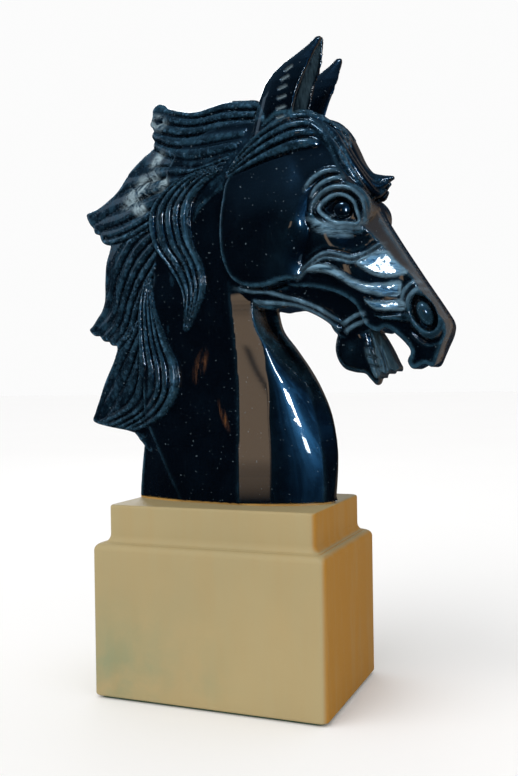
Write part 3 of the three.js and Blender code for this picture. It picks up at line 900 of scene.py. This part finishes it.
masks = {
    # reach of the blur, and the difference from it in mm that counts in full
    # the grooves are kept black in the colour as painted shade, and the ridges get a painted highlight
    "grooves": (1.6, 0.8),
    "crests": (1.4, 0.7),
    "side": (-4, -1.5),  # beside the mapped depth: where the paint starts and is full
    # the painted highlight on the ridges stays off the eyeball up to here
    "bareEye": (5.2, 6.2),  # the eyeball keeps its polish up to here
    "satinPatches": ("leaf", "longBand", "middleBand"),
    "satinEdge": (0, 1.5),  # how far inside a patch it starts and is full
    # a painted highlight on the pad under the eye
    "underEye": [(64, 284), (71, 280), (79, 278.6), (87, 278)],
    "underEyeWidth": 4.5,
    # painted highlight lines along the raised edges
    "wornLine": (1.0, 1.5),  # strength and half width
    "wornCrest": (1.0, 1.2),
    "wornRim": (-1.4, 1.2, 0.2),  # distance from a patch's outline; from there, where it starts and is full
    "wornLid": (1.1, 1.4, 0.3),  # the same for the eye's opening
    "strandEdge": (-1.0, -0.3),  # round a forelock strand, where its colouring starts and is full
    "hairBlur": 0.6,
    "toothBlur": 0.5,
    "earBand": (3.6, 4.2, 2.8),  # behind the ear's front edge: its middle, where it starts and is full
    "earFoot": 346,
    "earHollow": (-0.8, -0.2),  # how far inside the hollow it starts and is full
    "earShell": 1.5,  # and no further than this outside the ear
    "clouds": [
        # x, z, half width, half height and lean
        (-59, 317, 14, 9, 0.5),
        (-58, 304, 5, 4, 0),
        (-41, 318, 5, 4, 0.3),
        (-48, 336, 6, 4, 0.4),
        (-49, 361, 7, 5, -0.3),
    ],
}
topDepth, hairMap, toothMap = surfaceMap()


def grooveShadeMask():
    # the grooves, where the colour is kept black as painted shade
    reach, full = masks["grooves"]
    return np.clip((blurred(topDepth, reach) - topDepth) / full, 0, 1)


def crestHighlightMask():
    # the ridges of the relief, which get a painted highlight in the colour
    reach, full = masks["crests"]
    crests = np.clip((topDepth - blurred(topDepth, reach)) / full, 0, 1)
    fromBall = np.hypot(mapX - eye["ball"]["x"], mapZ - eye["ball"]["z"])
    return crests * fade(fromBall, *masks["bareEye"])


def satinAndHighlightMask():
    # the rubbed patches of the muzzle, and the skin under the eye, where the colour gets a painted highlight
    patches = [muzzle[name] for name in masks["satinPatches"]]
    satin = sum(fade(-outlineDistance(outline, 3), *masks["satinEdge"]) for outline in patches)
    ridge(satin, masks["underEye"], 1.0, masks["underEyeWidth"], taper=0.3)
    return satin


def edgeHighlightMask():
    # painted highlight lines along the brows, the lids, the folds and the rims of the patches
    edges = np.zeros(mapX.shape)
    for line in (*eye["brows"], eye["rim"], *muzzle["folds"], *jaw["ridges"], *jaw["bands"], eye["lowerPad"]):
        ridge(edges, line, *masks["wornLine"], taper=0.3)
    for shift, _ in muzzle["crestLines"][:2]:
        ridge(edges, [(x, z + shift) for x, z in muzzle["crest"]], *masks["wornCrest"], taper=0.2)
    rims = [(muzzle[name], masks["wornRim"]) for name in masks["satinPatches"]]
    for outline, (away, start, full) in rims + [(eye["opening"], masks["wornLid"])]:
        edges += fade(np.abs(outlineDistance(outline, 4) - away), start, full)
    return np.clip(edges, 0, 1)


def cloudMask():
    clouds = np.zeros(mapX.shape)
    for x, z, wide, high, lean in masks["clouds"]:
        clouds += np.exp(-(((mapX - x) / wide) ** 2 + ((mapZ - z - lean * (mapX - x)) / high) ** 2) ** 2)
    return clouds


def earMask(x, y, z):
    # a grey band in the ear's hollow, whose two borders stay black; the black at the deeper border is painted
    # shade
    shell, hollow = earShape(x, y, z)
    heights, _, fronts, _ = zip(*ear["stations"])
    inward = np.interp(z, heights, fronts) - x
    middle, start, full = masks["earBand"]
    inside = fade(-hollow, *masks["earHollow"]) * (shell < masks["earShell"]) * (z > masks["earFoot"])
    return inside * fade(np.abs(inward - middle), start, full)


def forelockMask(x, y, z):
    made = np.zeros(len(x))
    for stations in forelock["strands"]:
        made = np.maximum(made, fade(-strandDistance(stations, x, y, z), *masks["strandEdge"]))
    return made


def paintHorse():
    coordinates = np.empty(len(horse.data.vertices) * 3)
    horse.data.vertices.foreach_get("co", coordinates)
    x, y, z = (coordinates.reshape(-1, 3) / mm).T
    y = np.abs(y)
    onMap = Spots(x, z)
    onSide = fade(y - onMap.read(topDepth), *masks["side"])
    # the grooves are kept dark as painted shade; the ridges, the rubbed patches and the raised lines get a
    # painted highlight
    reliefMasks = {"hollow": grooveShadeMask(), "crest": crestHighlightMask(), "satin": satinAndHighlightMask(), "edge": edgeHighlightMask()}
    for name, mask in reliefMasks.items():
        paint(name, onMap.read(mask) * onSide)
    paint("scratch", onMap.read(notchMap) * (y > ear["middle"]))
    paint("hair", np.maximum(onMap.read(blurred(hairMap, masks["hairBlur"])), forelockMask(x, y, z)))
    paint("tooth", np.maximum(onMap.read(blurred(toothMap, masks["toothBlur"])), earMask(x, y, z)))
    paint("cloud", onMap.read(cloudMask()))


paintHorse()
print("masks painted")


class Value:
    # a shader socket that plain arithmetic builds Math nodes from

    def __init__(self, tree, socket):
        self.tree = tree
        self.socket = socket

    def maths(self, operation, *others):
        node = self.tree.nodes.new("ShaderNodeMath")
        node.operation = operation
        for slot, item in zip(node.inputs, others):
            connect(self.tree, slot, item)
        return Value(self.tree, node.outputs[0])

    def __add__(self, other):
        return self.maths("ADD", self, other)

    def __radd__(self, other):
        return self.maths("ADD", other, self)

    def __sub__(self, other):
        return self.maths("SUBTRACT", self, other)

    def __rsub__(self, other):
        return self.maths("SUBTRACT", other, self)

    def __mul__(self, other):
        return self.maths("MULTIPLY", self, other)

    def __rmul__(self, other):
        return self.maths("MULTIPLY", other, self)

    def __pow__(self, other):
        return self.maths("POWER", self, other)

    def clamped(self):
        return self.maths("MINIMUM", self.maths("MAXIMUM", self, 0.0), 1.0)

    def ramp(self, low, high):
        # 0 at low, 1 at high
        return ((self - low) * (1 / (high - low))).clamped()


def connect(tree, slot, item):
    if isinstance(item, Value):
        tree.links.new(item.socket, slot)
    else:
        slot.default_value = item


class Shader:
    # the nodes of a material or of the world: node() adds any node, and its inputs are named like the
    # node's sockets, as in baseColor; the rest are short names for the nodes that are used most

    def __init__(self, owner):
        self.owner = owner if not isinstance(owner, str) else bpy.data.materials.new(owner)
        self.owner.use_nodes = True
        self.tree = self.owner.node_tree
        self.tree.nodes.clear()

    def node(self, kind, settings=None, output=0, **inputs):
        made = self.tree.nodes.new(kind)
        for key, value in (settings or {}).items():
            setattr(made, key, value)
        enabled = [slot for slot in made.inputs if slot.enabled]
        slots = {slot.name.replace(" ", "").lower(): slot for slot in reversed(enabled)}
        for key, item in inputs.items():
            connect(self.tree, slots[key.lower()], item)
        return Value(self.tree, made.outputs[output]) if made.outputs else None

    def place(self):
        return self.node("ShaderNodeTexCoord", output=3)

    def stretched(self, place, scale, turn=(0, 0, 0)):
        return self.node("ShaderNodeMapping", vector=place, scale=scale, rotation=turn)

    def noise(self, place, scale, detail=3.0, roughness=0.5, distortion=0.0):
        return self.node("ShaderNodeTexNoise", vector=place, scale=scale, detail=detail,
                         roughness=roughness, distortion=distortion)

    def patches(self, place, scale, detail, roughness, start, full):
        # noise, 0 up to start and 1 from full on
        return self.noise(place, scale, detail, roughness).ramp(start, full)

    def split(self, vector):
        parts = self.node("ShaderNodeSeparateXYZ", vector=vector).socket.node.outputs
        return [Value(self.tree, part) for part in parts]

    def painted(self, name):
        return self.node("ShaderNodeAttribute", {"attribute_name": name}, output=2)

    def blend(self, share, first, second):
        return self.node("ShaderNodeMix", {"data_type": "RGBA"}, output=2, factor=share, a=first, b=second)

    def bump(self, height, strength, distance):
        return self.node("ShaderNodeBump", height=height, strength=strength, distance=distance)

    def finish(self, **inputs):
        self.node("ShaderNodeOutputMaterial", surface=self.node("ShaderNodeBsdfPrincipled", **inputs))
        return self.owner


jadeLook = {
    "black": (0.0004, 0.0007, 0.0014, 1),
    "blue": (0.0012, 0.0034, 0.0064, 1),
    "mane": (0.0010, 0.0040, 0.0080, 1),
    # pale dust on the strands, which also stands for the sheen on their tops, a painted highlight
    "dust": (0.020, 0.062, 0.100, 1),
    # a painted highlight on the ridges of the relief
    "worn": (0.030, 0.084, 0.128, 1),
    "glint": (0.085, 0.20, 0.32, 1),
    # a painted highlight on the rubbed patches and along the raised lines
    "rubbed": (0.175, 0.305, 0.405, 1),
    "pale": (0.27, 0.36, 0.40, 1),
    "rust": (0.10, 0.04, 0.010, 1),
    "tooth": (0.050, 0.085, 0.105, 1),
    "softness": 0.24,  # roughness under the polish
    "ior": 1.4,
    "tint": (0.12, 0.5, 1.0, 1),
    "polish": 0.035,  # roughness of the polish on top
    "polishIor": 1.7,
    # scale, detail and roughness of a noise, and where it starts and is full
    "mottle": (38.0, 5.0, 0.62, 0.42, 0.72),
    "specks": (620.0, 1.0, 0.5, 0.735, 0.78),
    "dusty": (150.0, 4.0, 0.65, 0.45, 0.75),
    "glints": (420.0, 3.0, 0.7, 0.52, 0.66),
    "shimmer": (300.0, 4.0, 0.75, 0.45, 0.55),
    # stretched noises: scale along each axis, turn, and then those five numbers
    "lines": ((620.0, 620.0, 80.0), (0, 0.25, 0), (1.0, 3.0, 0.6, 0.36, 0.64)),
    "streaky": ((60.0, 60.0, 320.0), (0, -0.5, 0), (1.0, 4.0, 0.7, 0.4, 0.62)),
    "fibre": (420.0, 60.0, 60.0),  # the stretch alone
    "grain": (900.0, 2.0, 0.6),
    "bump": (0.3, 0.00012),  # strength, and depth in metres
    "nearSide": (0.0, -0.01),  # y between which the rusty veins start and are full
    "streaks": [
        # where a rusty vein comes to the surface: x, z, lean, half length and half width in mm
        (-13, 203, 0.35, 13, 5),
        (3, 172, -0.35, 12, 2.6),
    ],
}


def jadeMaterial():
    s = Shader("blackJade")
    look = jadeLook
    place = s.place()
    hollow, hair, crest, satin = (s.painted(name) for name in ("hollow", "hair", "crest", "satin"))
    edge, scratch, tooth, cloud = (s.painted(name) for name in ("edge", "scratch", "tooth", "cloud"))
    mottle, specks, dusty = (s.patches(place, *look[name]) for name in ("mottle", "specks", "dusty"))
    glints, shimmer = (s.patches(place, *look[name]) for name in ("glints", "shimmer"))
    grain = s.noise(place, *look["grain"])
    lines, streaky = (
        s.patches(s.stretched(place, scale, turn), *rest)
        for scale, turn, rest in (look["lines"], look["streaky"])
    )
    fibre = s.noise(s.stretched(place, look["fibre"]), 1.0, 4.0, 0.7)
    patch = (cloud * (s.noise(place, 130.0, 6.0, 0.75, 0.8) * 6.0 - 2.6)).clamped()

    x, y, z = s.split(place)
    nearSide = y.ramp(*look["nearSide"])
    x = x * (1 / mm)
    z = z * (1 / mm)
    rust = None
    for cx, cz, lean, halfLength, halfWidth in look["streaks"]:
        along = (x - cx) * math.sin(lean) + (z - cz) * math.cos(lean)
        across = (x - cx) * math.cos(lean) - (z - cz) * math.sin(lean)
        away = (along * (1 / halfLength)) ** 2.0 + (across * (1 / halfWidth)) ** 2.0
        spot = (1.0 - away).clamped()
        rust = spot if rust is None else rust + spot
    rust = (rust * nearSide * (fibre * 4.6 - 2.0)).clamped()

    colour = s.blend(mottle * 0.6, look["black"], look["blue"])
    for share, shade in (
        # the grooves stay black in the mane and its dust as painted shade
        (hair * (1.0 - hollow) * (0.35 + mottle * 0.65), "mane"),
        # dust on the strands, and a painted sheen on their tops
        ((hair * dusty * (0.6 - hollow * 0.9)).clamped(), "dust"),
        # a painted highlight on the ridges
        ((crest * (1.0 - hair * 0.4) * (0.35 + dusty * 0.65)).clamped(), "worn"),
        ((hair * crest * glints * 0.75).clamped(), "glint"),
        # a painted highlight on the rubbed patches and under the eye, and in lines along the raised edges
        (satin * streaky, "rubbed"),
        (edge * (0.25 + dusty * 0.6), "rubbed"),
        (rust, "rust"),
        (tooth * (0.2 + lines * 0.8), "tooth"),
        (patch, "pale"),
        ((specks * 0.3 + scratch * 0.6).clamped(), "pale"),
    ):
        colour = s.blend(share, colour, look[shade])
    roughness = look["softness"] + dusty * 0.1 + patch * 0.2 + tooth * 0.1 + scratch * 0.1
    rubbed = satin * (0.25 + shimmer * 0.75)
    polish = 1.0 - hair * (0.2 + dusty * 0.5) - crest * 0.1 - rubbed - patch - tooth * 0.6 - scratch
    height = grain * (0.1 + hair * 0.5 + tooth) + specks * -0.3 + satin * (streaky * 1.8 + glints)
    return s.finish(
        baseColor=colour,
        roughness=roughness,
        ior=look["ior"],
        specularTint=look["tint"],
        coatWeight=polish.clamped(),
        coatRoughness=look["polish"],
        coatIor=look["polishIor"],
        normal=s.bump(height, *look["bump"]),
    )


horse.data.materials.append(jadeMaterial())
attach(horse, "root")
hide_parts("horse_head")
print("horse dressed")


plinth = {
    "stepX": 8.0,  # how far the upper block is set in along X, and along Y
    "stepY": 7.0,
    "shoulder": 95.0,  # height of the step
    "cove": 5.0,
    "nose": 4.5,  # round edge of the shoulder
    "corner": 4.0,
    "arris": 1.5,  # eased edges
    "arcSteps": 10,
    "cornerSteps": 8,
    # rings of the mesh: how far above one edge they start and below the next they end, and how many
    "sideRings": (8, 12, 9),
    "upperRings": (3, 3, 4),
    "topRings": (4, 12, 22, 32),  # how far in from the rim
    "coveFoot": 0.2,  # height of the cove's foot above the step
    "tightening": 0.02,  # of the corners, for each mm further in
    "leastCorner": 1.0,
}


def plinthProfile(bottom, top):
    # how far in from the block's side, and the height, going up
    p = plinth
    inner = (p["stepX"] + p["stepY"]) / 2
    turns = np.linspace(0, math.pi / 2, p["arcSteps"] + 1)
    arris = [(p["arris"] * (1 - math.sin(t)), bottom + p["arris"] * (1 - math.cos(t))) for t in turns]
    above, below, count = p["sideRings"]
    side = [(0, z) for z in np.linspace(bottom + above, p["shoulder"] - below, count)]
    nose = [(p["nose"] * (1 - math.cos(t)), p["shoulder"] - p["nose"] * (1 - math.sin(t))) for t in turns]
    ledge = p["shoulder"] + p["coveFoot"]
    cove = [
        (inner - (inner - p["nose"]) * (1 - math.sin(t)), ledge + p["cove"] * (1 - math.cos(t)))
        for t in turns
    ]
    above, below, count = p["upperRings"]
    upper = [(inner, z) for z in np.linspace(p["shoulder"] + p["cove"] + above, top - below, count)]
    rim = [(inner + p["arris"] * (1 - math.cos(t)), top - p["arris"] * (1 - math.sin(t))) for t in turns]
    inside = [(inner + p["arris"] + step, top) for step in p["topRings"]]
    return inner, arris + side + nose + cove + upper + rim + inside


def slabRing(length, depth, corner, z):
    # a rectangle with round corners at one height
    points = []
    for cx, cy, start in ((1, 1, 0), (-1, 1, 90), (-1, -1, 180), (1, -1, 270)):
        for i in range(plinth["cornerSteps"] + 1):
            turn = math.radians(start + 90 * i / plinth["cornerSteps"])
            x = cx * (length / 2 - corner) + corner * math.cos(turn)
            y = cy * (depth / 2 - corner) + corner * math.sin(turn)
            points.append((x, y, z))
    return points


def loft(rings):
    # a closed skin over rings of equal length
    sides = len(rings[0])
    points = [point for each in rings for point in each]
    faces = []
    for r in range(len(rings) - 1):
        for s in range(sides):
            a = r * sides + s
            b = r * sides + (s + 1) % sides
            faces.append((a, b, b + sides, a + sides))
    faces.append(tuple(range(sides))[::-1])
    faces.append(tuple(range(len(points) - sides, len(points))))
    return np.array(points), faces


def buildPlinth():
    low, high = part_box("plinth")
    length = (high[0] - low[0]) / mm
    depth = (high[1] - low[1]) / mm
    inner, profile = plinthProfile(low[2] / mm, high[2] / mm)
    rings = []
    for inward, z in profile:
        insetX = inward * plinth["stepX"] / inner
        insetY = inward * plinth["stepY"] / inner
        corner = max(plinth["corner"] - plinth["tightening"] * inward, plinth["leastCorner"])
        rings.append(slabRing(length - 2 * insetX, depth - 2 * insetY, corner, z))
    points, faces = loft(rings)
    made = meshObject("plinthStone", points * mm, faces)
    for face in made.data.polygons:
        face.use_smooth = len(face.vertices) == 4
    return made


stoneLook = {
    "tan": (0.358, 0.284, 0.138, 1),
    # orange veins, and the painted shade of the end that faces +X
    "honey": (0.42, 0.188, 0.006, 1),
    "green": (0.236, 0.262, 0.142, 1),
    "pale": (0.404, 0.314, 0.150, 1),
    "roughness": 0.6,
    "veinStretch": (90.0, 90.0, 12.0),
    # noises: scale, detail and, where it isn't the usual one, roughness
    "cloud": (9.0, 3.0, 0.5),
    "veins": (1.0, 3.0, 0.6),
    "mottle": (26.0, 4.0, 0.6, 0.4),  # and distortion
    "fine": (700.0, 3.0, 0.6),
    "swell": (60.0, 2.0),
    "bump": (0.12, 0.0003),  # strength, and depth in metres
    # where each starts and is full: the green along z and x, and the darker orange as the face turns to +X,
    # which is painted shade
    "lower": (0.075, 0.015),
    "left": (0.03, -0.06),
    "right": (0.35, 0.85),
}


def stoneMaterial():
    s = Shader("honeyStone")
    look = stoneLook
    place = s.place()
    cloud = s.noise(place, *look["cloud"])
    veins = s.noise(s.stretched(place, look["veinStretch"]), *look["veins"])
    green = s.noise(place, *look["mottle"])
    x, _, z = s.split(place)
    lower = z.ramp(*look["lower"])
    left = x.ramp(*look["left"])
    facing = s.split(s.node("ShaderNodeTexCoord", output=1))[0]
    right = facing.ramp(*look["right"])  # the end that faces +X
    colour = s.blend(cloud.ramp(0.35, 0.7), look["tan"], look["pale"])
    colour = s.blend(lower * left * green.ramp(0.42, 0.66), colour, look["green"])
    # orange veins, stronger towards +X, and the whole end facing +X painted darker and more orange as painted
    # shade
    honey = veins.ramp(0.4, 0.75) * (0.10 + right * 0.3) + right * 0.85
    colour = s.blend(honey.clamped(), colour, look["honey"])
    fine = s.noise(place, *look["fine"])
    return s.finish(
        baseColor=colour,
        roughness=look["roughness"] + fine * 0.1 - cloud * 0.08,
        normal=s.bump(fine + s.noise(place, *look["swell"]) * 2.0, *look["bump"]),
    )


plinthStone = buildPlinth()
plinthStone.data.materials.append(stoneMaterial())
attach(plinthStone, "root")
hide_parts("plinth")
plinthStone.visible_glossy = False
print("plinth built")


def dressNode(name, material):
    node = bpy.data.objects[name]
    node.data.materials.clear()
    node.data.materials.append(material)


resinLook = {
    "deep": (0.30, 0.15, 0.03, 1),
    "light": (0.55, 0.33, 0.09, 1),
    "gloss": 0.4,
    "drift": (120.0, 3.0),  # scale and detail
    "roughness": (0.25, 0.2),  # the least, and what the drift adds
}


def resinMaterial():
    s = Shader("amberResin")
    drift = s.noise(s.place(), *resinLook["drift"])
    colour = s.blend(drift, resinLook["deep"], resinLook["light"])
    least, added = resinLook["roughness"]
    return s.finish(baseColor=colour, roughness=least + drift * added, coatWeight=resinLook["gloss"])


steelLook = {
    "colour": (0.55, 0.56, 0.58, 1),
    "roughness": (0.25, 0.25),  # the least, and what the turned grooves add
    "grooves": (90.0, 2.0),  # scale and detail
    "stretch": (1.0, 1.0, 40.0),
}


def steelMaterial():
    s = Shader("dowelSteel")
    turned = s.noise(s.stretched(s.place(), steelLook["stretch"]), *steelLook["grooves"])
    least, added = steelLook["roughness"]
    return s.finish(baseColor=steelLook["colour"], metallic=1.0, roughness=least + turned * added)


feltLook = {
    "dark": (0.015, 0.045, 0.025, 1),
    "green": (0.05, 0.12, 0.065, 1),
    "roughness": 0.95,
    "sheen": 0.4,
    "nap": (2600.0, 4.0, 0.8),  # scale, detail and roughness
    "bump": (0.8, 0.0004),  # strength, and depth in metres
}


def feltMaterial():
    s = Shader("greenFelt")
    nap = s.noise(s.place(), *feltLook["nap"])
    return s.finish(
        baseColor=s.blend(nap, feltLook["dark"], feltLook["green"]),
        roughness=feltLook["roughness"],
        sheenWeight=feltLook["sheen"],
        normal=s.bump(nap, *feltLook["bump"]),
    )


dressNode("resin_bed", resinMaterial())
dressNode("front_dowel", steelMaterial())
dressNode("rear_dowel", steelMaterial())
dressNode("felt_base", feltMaterial())


studio = {
    "floorSize": 12.0,
    "floor": (0.93, 0.928, 0.925, 1),
    "floorShade": (0.78, 0.77, 0.76, 1),
    "floorShare": 0.1,  # of that shade
    "floorRoughness": 0.9,
    "backdrop": (0.97, 0.97, 0.97, 1),
    "ambient": (0.84, 0.835, 0.83, 1),
    "dark": (0.006, 0.012, 0.022, 1),
    "brown": (1.48, 1.05, 0.70, 1),
    "blue": (0.16, 0.75, 1.7, 1),
    "sky": (0.06, 0.14, 0.23, 1),
    "sun": {"strength": 1.5, "angle": 60, "place": (0, 0, 2), "toward": (0.5, 0.8, -0.75)},
    "lights": [
        # name, where it stands, width and height, power, colour
        ("windowHigh", (0.546, -0.587, 0.37), (0.04, 0.09), 0.5, (0.86, 0.94, 1.0)),
        ("windowMiddle", (0.546, -0.587, 0.243), (0.075, 0.062), 1.0, (0.88, 0.95, 1.0)),
        ("windowLow", (0.56, -0.57, 0.165), (0.035, 0.035), 0.15, (0.70, 0.88, 1.0)),
        ("top", (0.1, -0.9, 1.7), (0.5, 0.2), 7, (0.62, 0.84, 1.0)),
        ("left", (-1.6, -0.5, 0.9), (0.5, 1.0), 1.0, (0.60, 0.80, 1.0)),
        ("back", (-0.9, 1.5, 0.9), (0.5, 0.8), 10, (0.95, 0.97, 1.0)),
    ],
    "aim": (0.0, 0.0, 0.22),
}

room = {
    # what the polish shows, as directions: where a thing starts and where it is full
    "wallAhead": (-0.88, -0.93),
    "wallSides": [(0.03, 0.055), (0.15, 0.125)],
    "wallHeights": [(0.135, 0.12), (-0.13, -0.10)],
    "bar": {"lean": 0.3, "side": 0.098, "edge": (0.005, 0.001), "top": (0.085, 0.07)},
    "farAhead": (0.12, 0.35),
    "farSide": (0.15, 0.35),
    "farHeight": (0.78, 0.70),
    "farShare": 0.17,
    "window": (0.70, -0.70, 0.14),
    "glow": (0.86, 1.0),
    "clutter": (11.0, 5.0, 0.65, 0.4, 0.58),  # scale, detail and roughness of the noise come first
    "skirting": (-0.2, 0.05),
    "sky": (0.3, 0.95),
}

view = {
    "place": (229.1, -530.7, 193.2),  # mm
    "yaw": 21.86,  # degrees, as are the next two
    "pitch": -0.46,
    "roll": -0.85,
    "lens": 42.17,
    "sensor": 36.0,
}


def buildFloor():
    size = studio["floorSize"]
    corners = [(-size, -size, 0), (size, -size, 0), (size, size, 0), (-size, size, 0)]
    made = meshObject("studioFloor", corners, [(0, 1, 2, 3)])
    s = Shader("floorPaper")
    tone = s.noise(s.place(), 3.0, 2.0)
    colour = s.blend(tone * studio["floorShare"], studio["floor"], studio["floorShade"])
    made.data.materials.append(s.finish(baseColor=colour, roughness=studio["floorRoughness"]))
    made.visible_glossy = False


def placeLamp(name, lamp, place, toward):
    made = bpy.data.objects.new(name, lamp)
    made.location = place
    made.rotation_euler = toward.to_track_quat("-Z", "Y").to_euler()
    bpy.context.scene.collection.objects.link(made)
    return made


def addLight(name, place, size, power, colour):
    lamp = bpy.data.lights.new(name, "AREA")
    lamp.shape = "RECTANGLE"
    lamp.size, lamp.size_y = size
    lamp.energy = power
    lamp.color = colour
    made = placeLamp(name, lamp, place, Vector(studio["aim"]) - Vector(place))
    made.visible_diffuse = False  # these only shine in the polish


def addSun():
    sun = studio["sun"]
    lamp = bpy.data.lights.new("sun", "SUN")
    lamp.energy = sun["strength"]
    lamp.angle = math.radians(sun["angle"])
    made = placeLamp("sun", lamp, sun["place"], Vector(sun["toward"]))
    made.visible_glossy = False


def buildWorld():
    # pale to the eye, soft and even for lighting, and a dim warm and blue room in the polish
    world = bpy.data.worlds.new("studio")
    bpy.context.scene.world = world
    s = Shader(world)
    direction = s.node("ShaderNodeTexCoord", output=0)
    side, ahead, up = s.split(direction)
    wall = ahead.ramp(*room["wallAhead"])
    for axis, edges in ((side, room["wallSides"]), (up, room["wallHeights"])):
        for edge in edges:
            wall = wall * axis.ramp(*edge)
    bar = room["bar"]
    offBar = side + up * bar["lean"] - bar["side"]
    barShare = offBar.maths("ABSOLUTE", offBar).ramp(*bar["edge"]) * up.ramp(*bar["top"])
    wall = wall * (1.0 - barShare)  # a dark bar stands in front of it
    far = ahead.ramp(*room["farAhead"]) * side.ramp(*room["farSide"]) * up.ramp(*room["farHeight"])
    alongX, alongY, alongZ = room["window"]
    glow = (side * alongX + ahead * alongY + up * alongZ).ramp(*room["glow"])
    clutter = s.patches(direction, *room["clutter"])
    glow = glow * (0.25 + clutter * 0.75) * (0.3 + up.ramp(*room["skirting"]) * 0.7)
    mirrored = s.blend(up.ramp(*room["sky"]), studio["dark"], studio["sky"])
    mirrored = s.blend(glow * glow, mirrored, studio["blue"])
    mirrored = s.blend(wall, mirrored, studio["brown"])
    mirrored = s.blend(far * room["farShare"], mirrored, studio["brown"])
    path = s.node("ShaderNodeLightPath").socket.node.outputs
    seen = s.blend(Value(s.tree, path["Is Diffuse Ray"]), mirrored, studio["ambient"])
    seen = s.blend(Value(s.tree, path["Is Camera Ray"]), seen, studio["backdrop"])
    s.node("ShaderNodeOutputWorld", surface=s.node("ShaderNodeBackground", color=seen, strength=1.0))
    world.cycles.sampling_method = "NONE"
    bpy.context.scene.view_settings.view_transform = "Standard"


def buildCamera():
    yaw, pitch, roll = (math.radians(view[key]) for key in ("yaw", "pitch", "roll"))
    ahead = Vector((-math.sin(yaw) * math.cos(pitch), math.cos(yaw) * math.cos(pitch), math.sin(pitch)))
    level = Vector((math.cos(yaw), math.sin(yaw), 0))
    upright = level.cross(ahead)
    right = math.cos(roll) * level + math.sin(roll) * upright
    up = -math.sin(roll) * level + math.cos(roll) * upright
    camera = bpy.data.cameras.new("camera")
    camera.sensor_fit = "VERTICAL"
    camera.sensor_height = view["sensor"]
    camera.lens = view["lens"]
    camera.clip_start = 0.01
    made = bpy.data.objects.new("camera", camera)
    turn = Matrix((right, up, -ahead)).transposed().to_4x4()
    made.matrix_world = Matrix.Translation(Vector(view["place"]) * mm) @ turn
    bpy.context.scene.collection.objects.link(made)
    bpy.context.scene.camera = made


buildFloor()
for lamp in studio["lights"]:
    addLight(*lamp)
addSun()
buildWorld()
buildCamera()
print("studio ready")
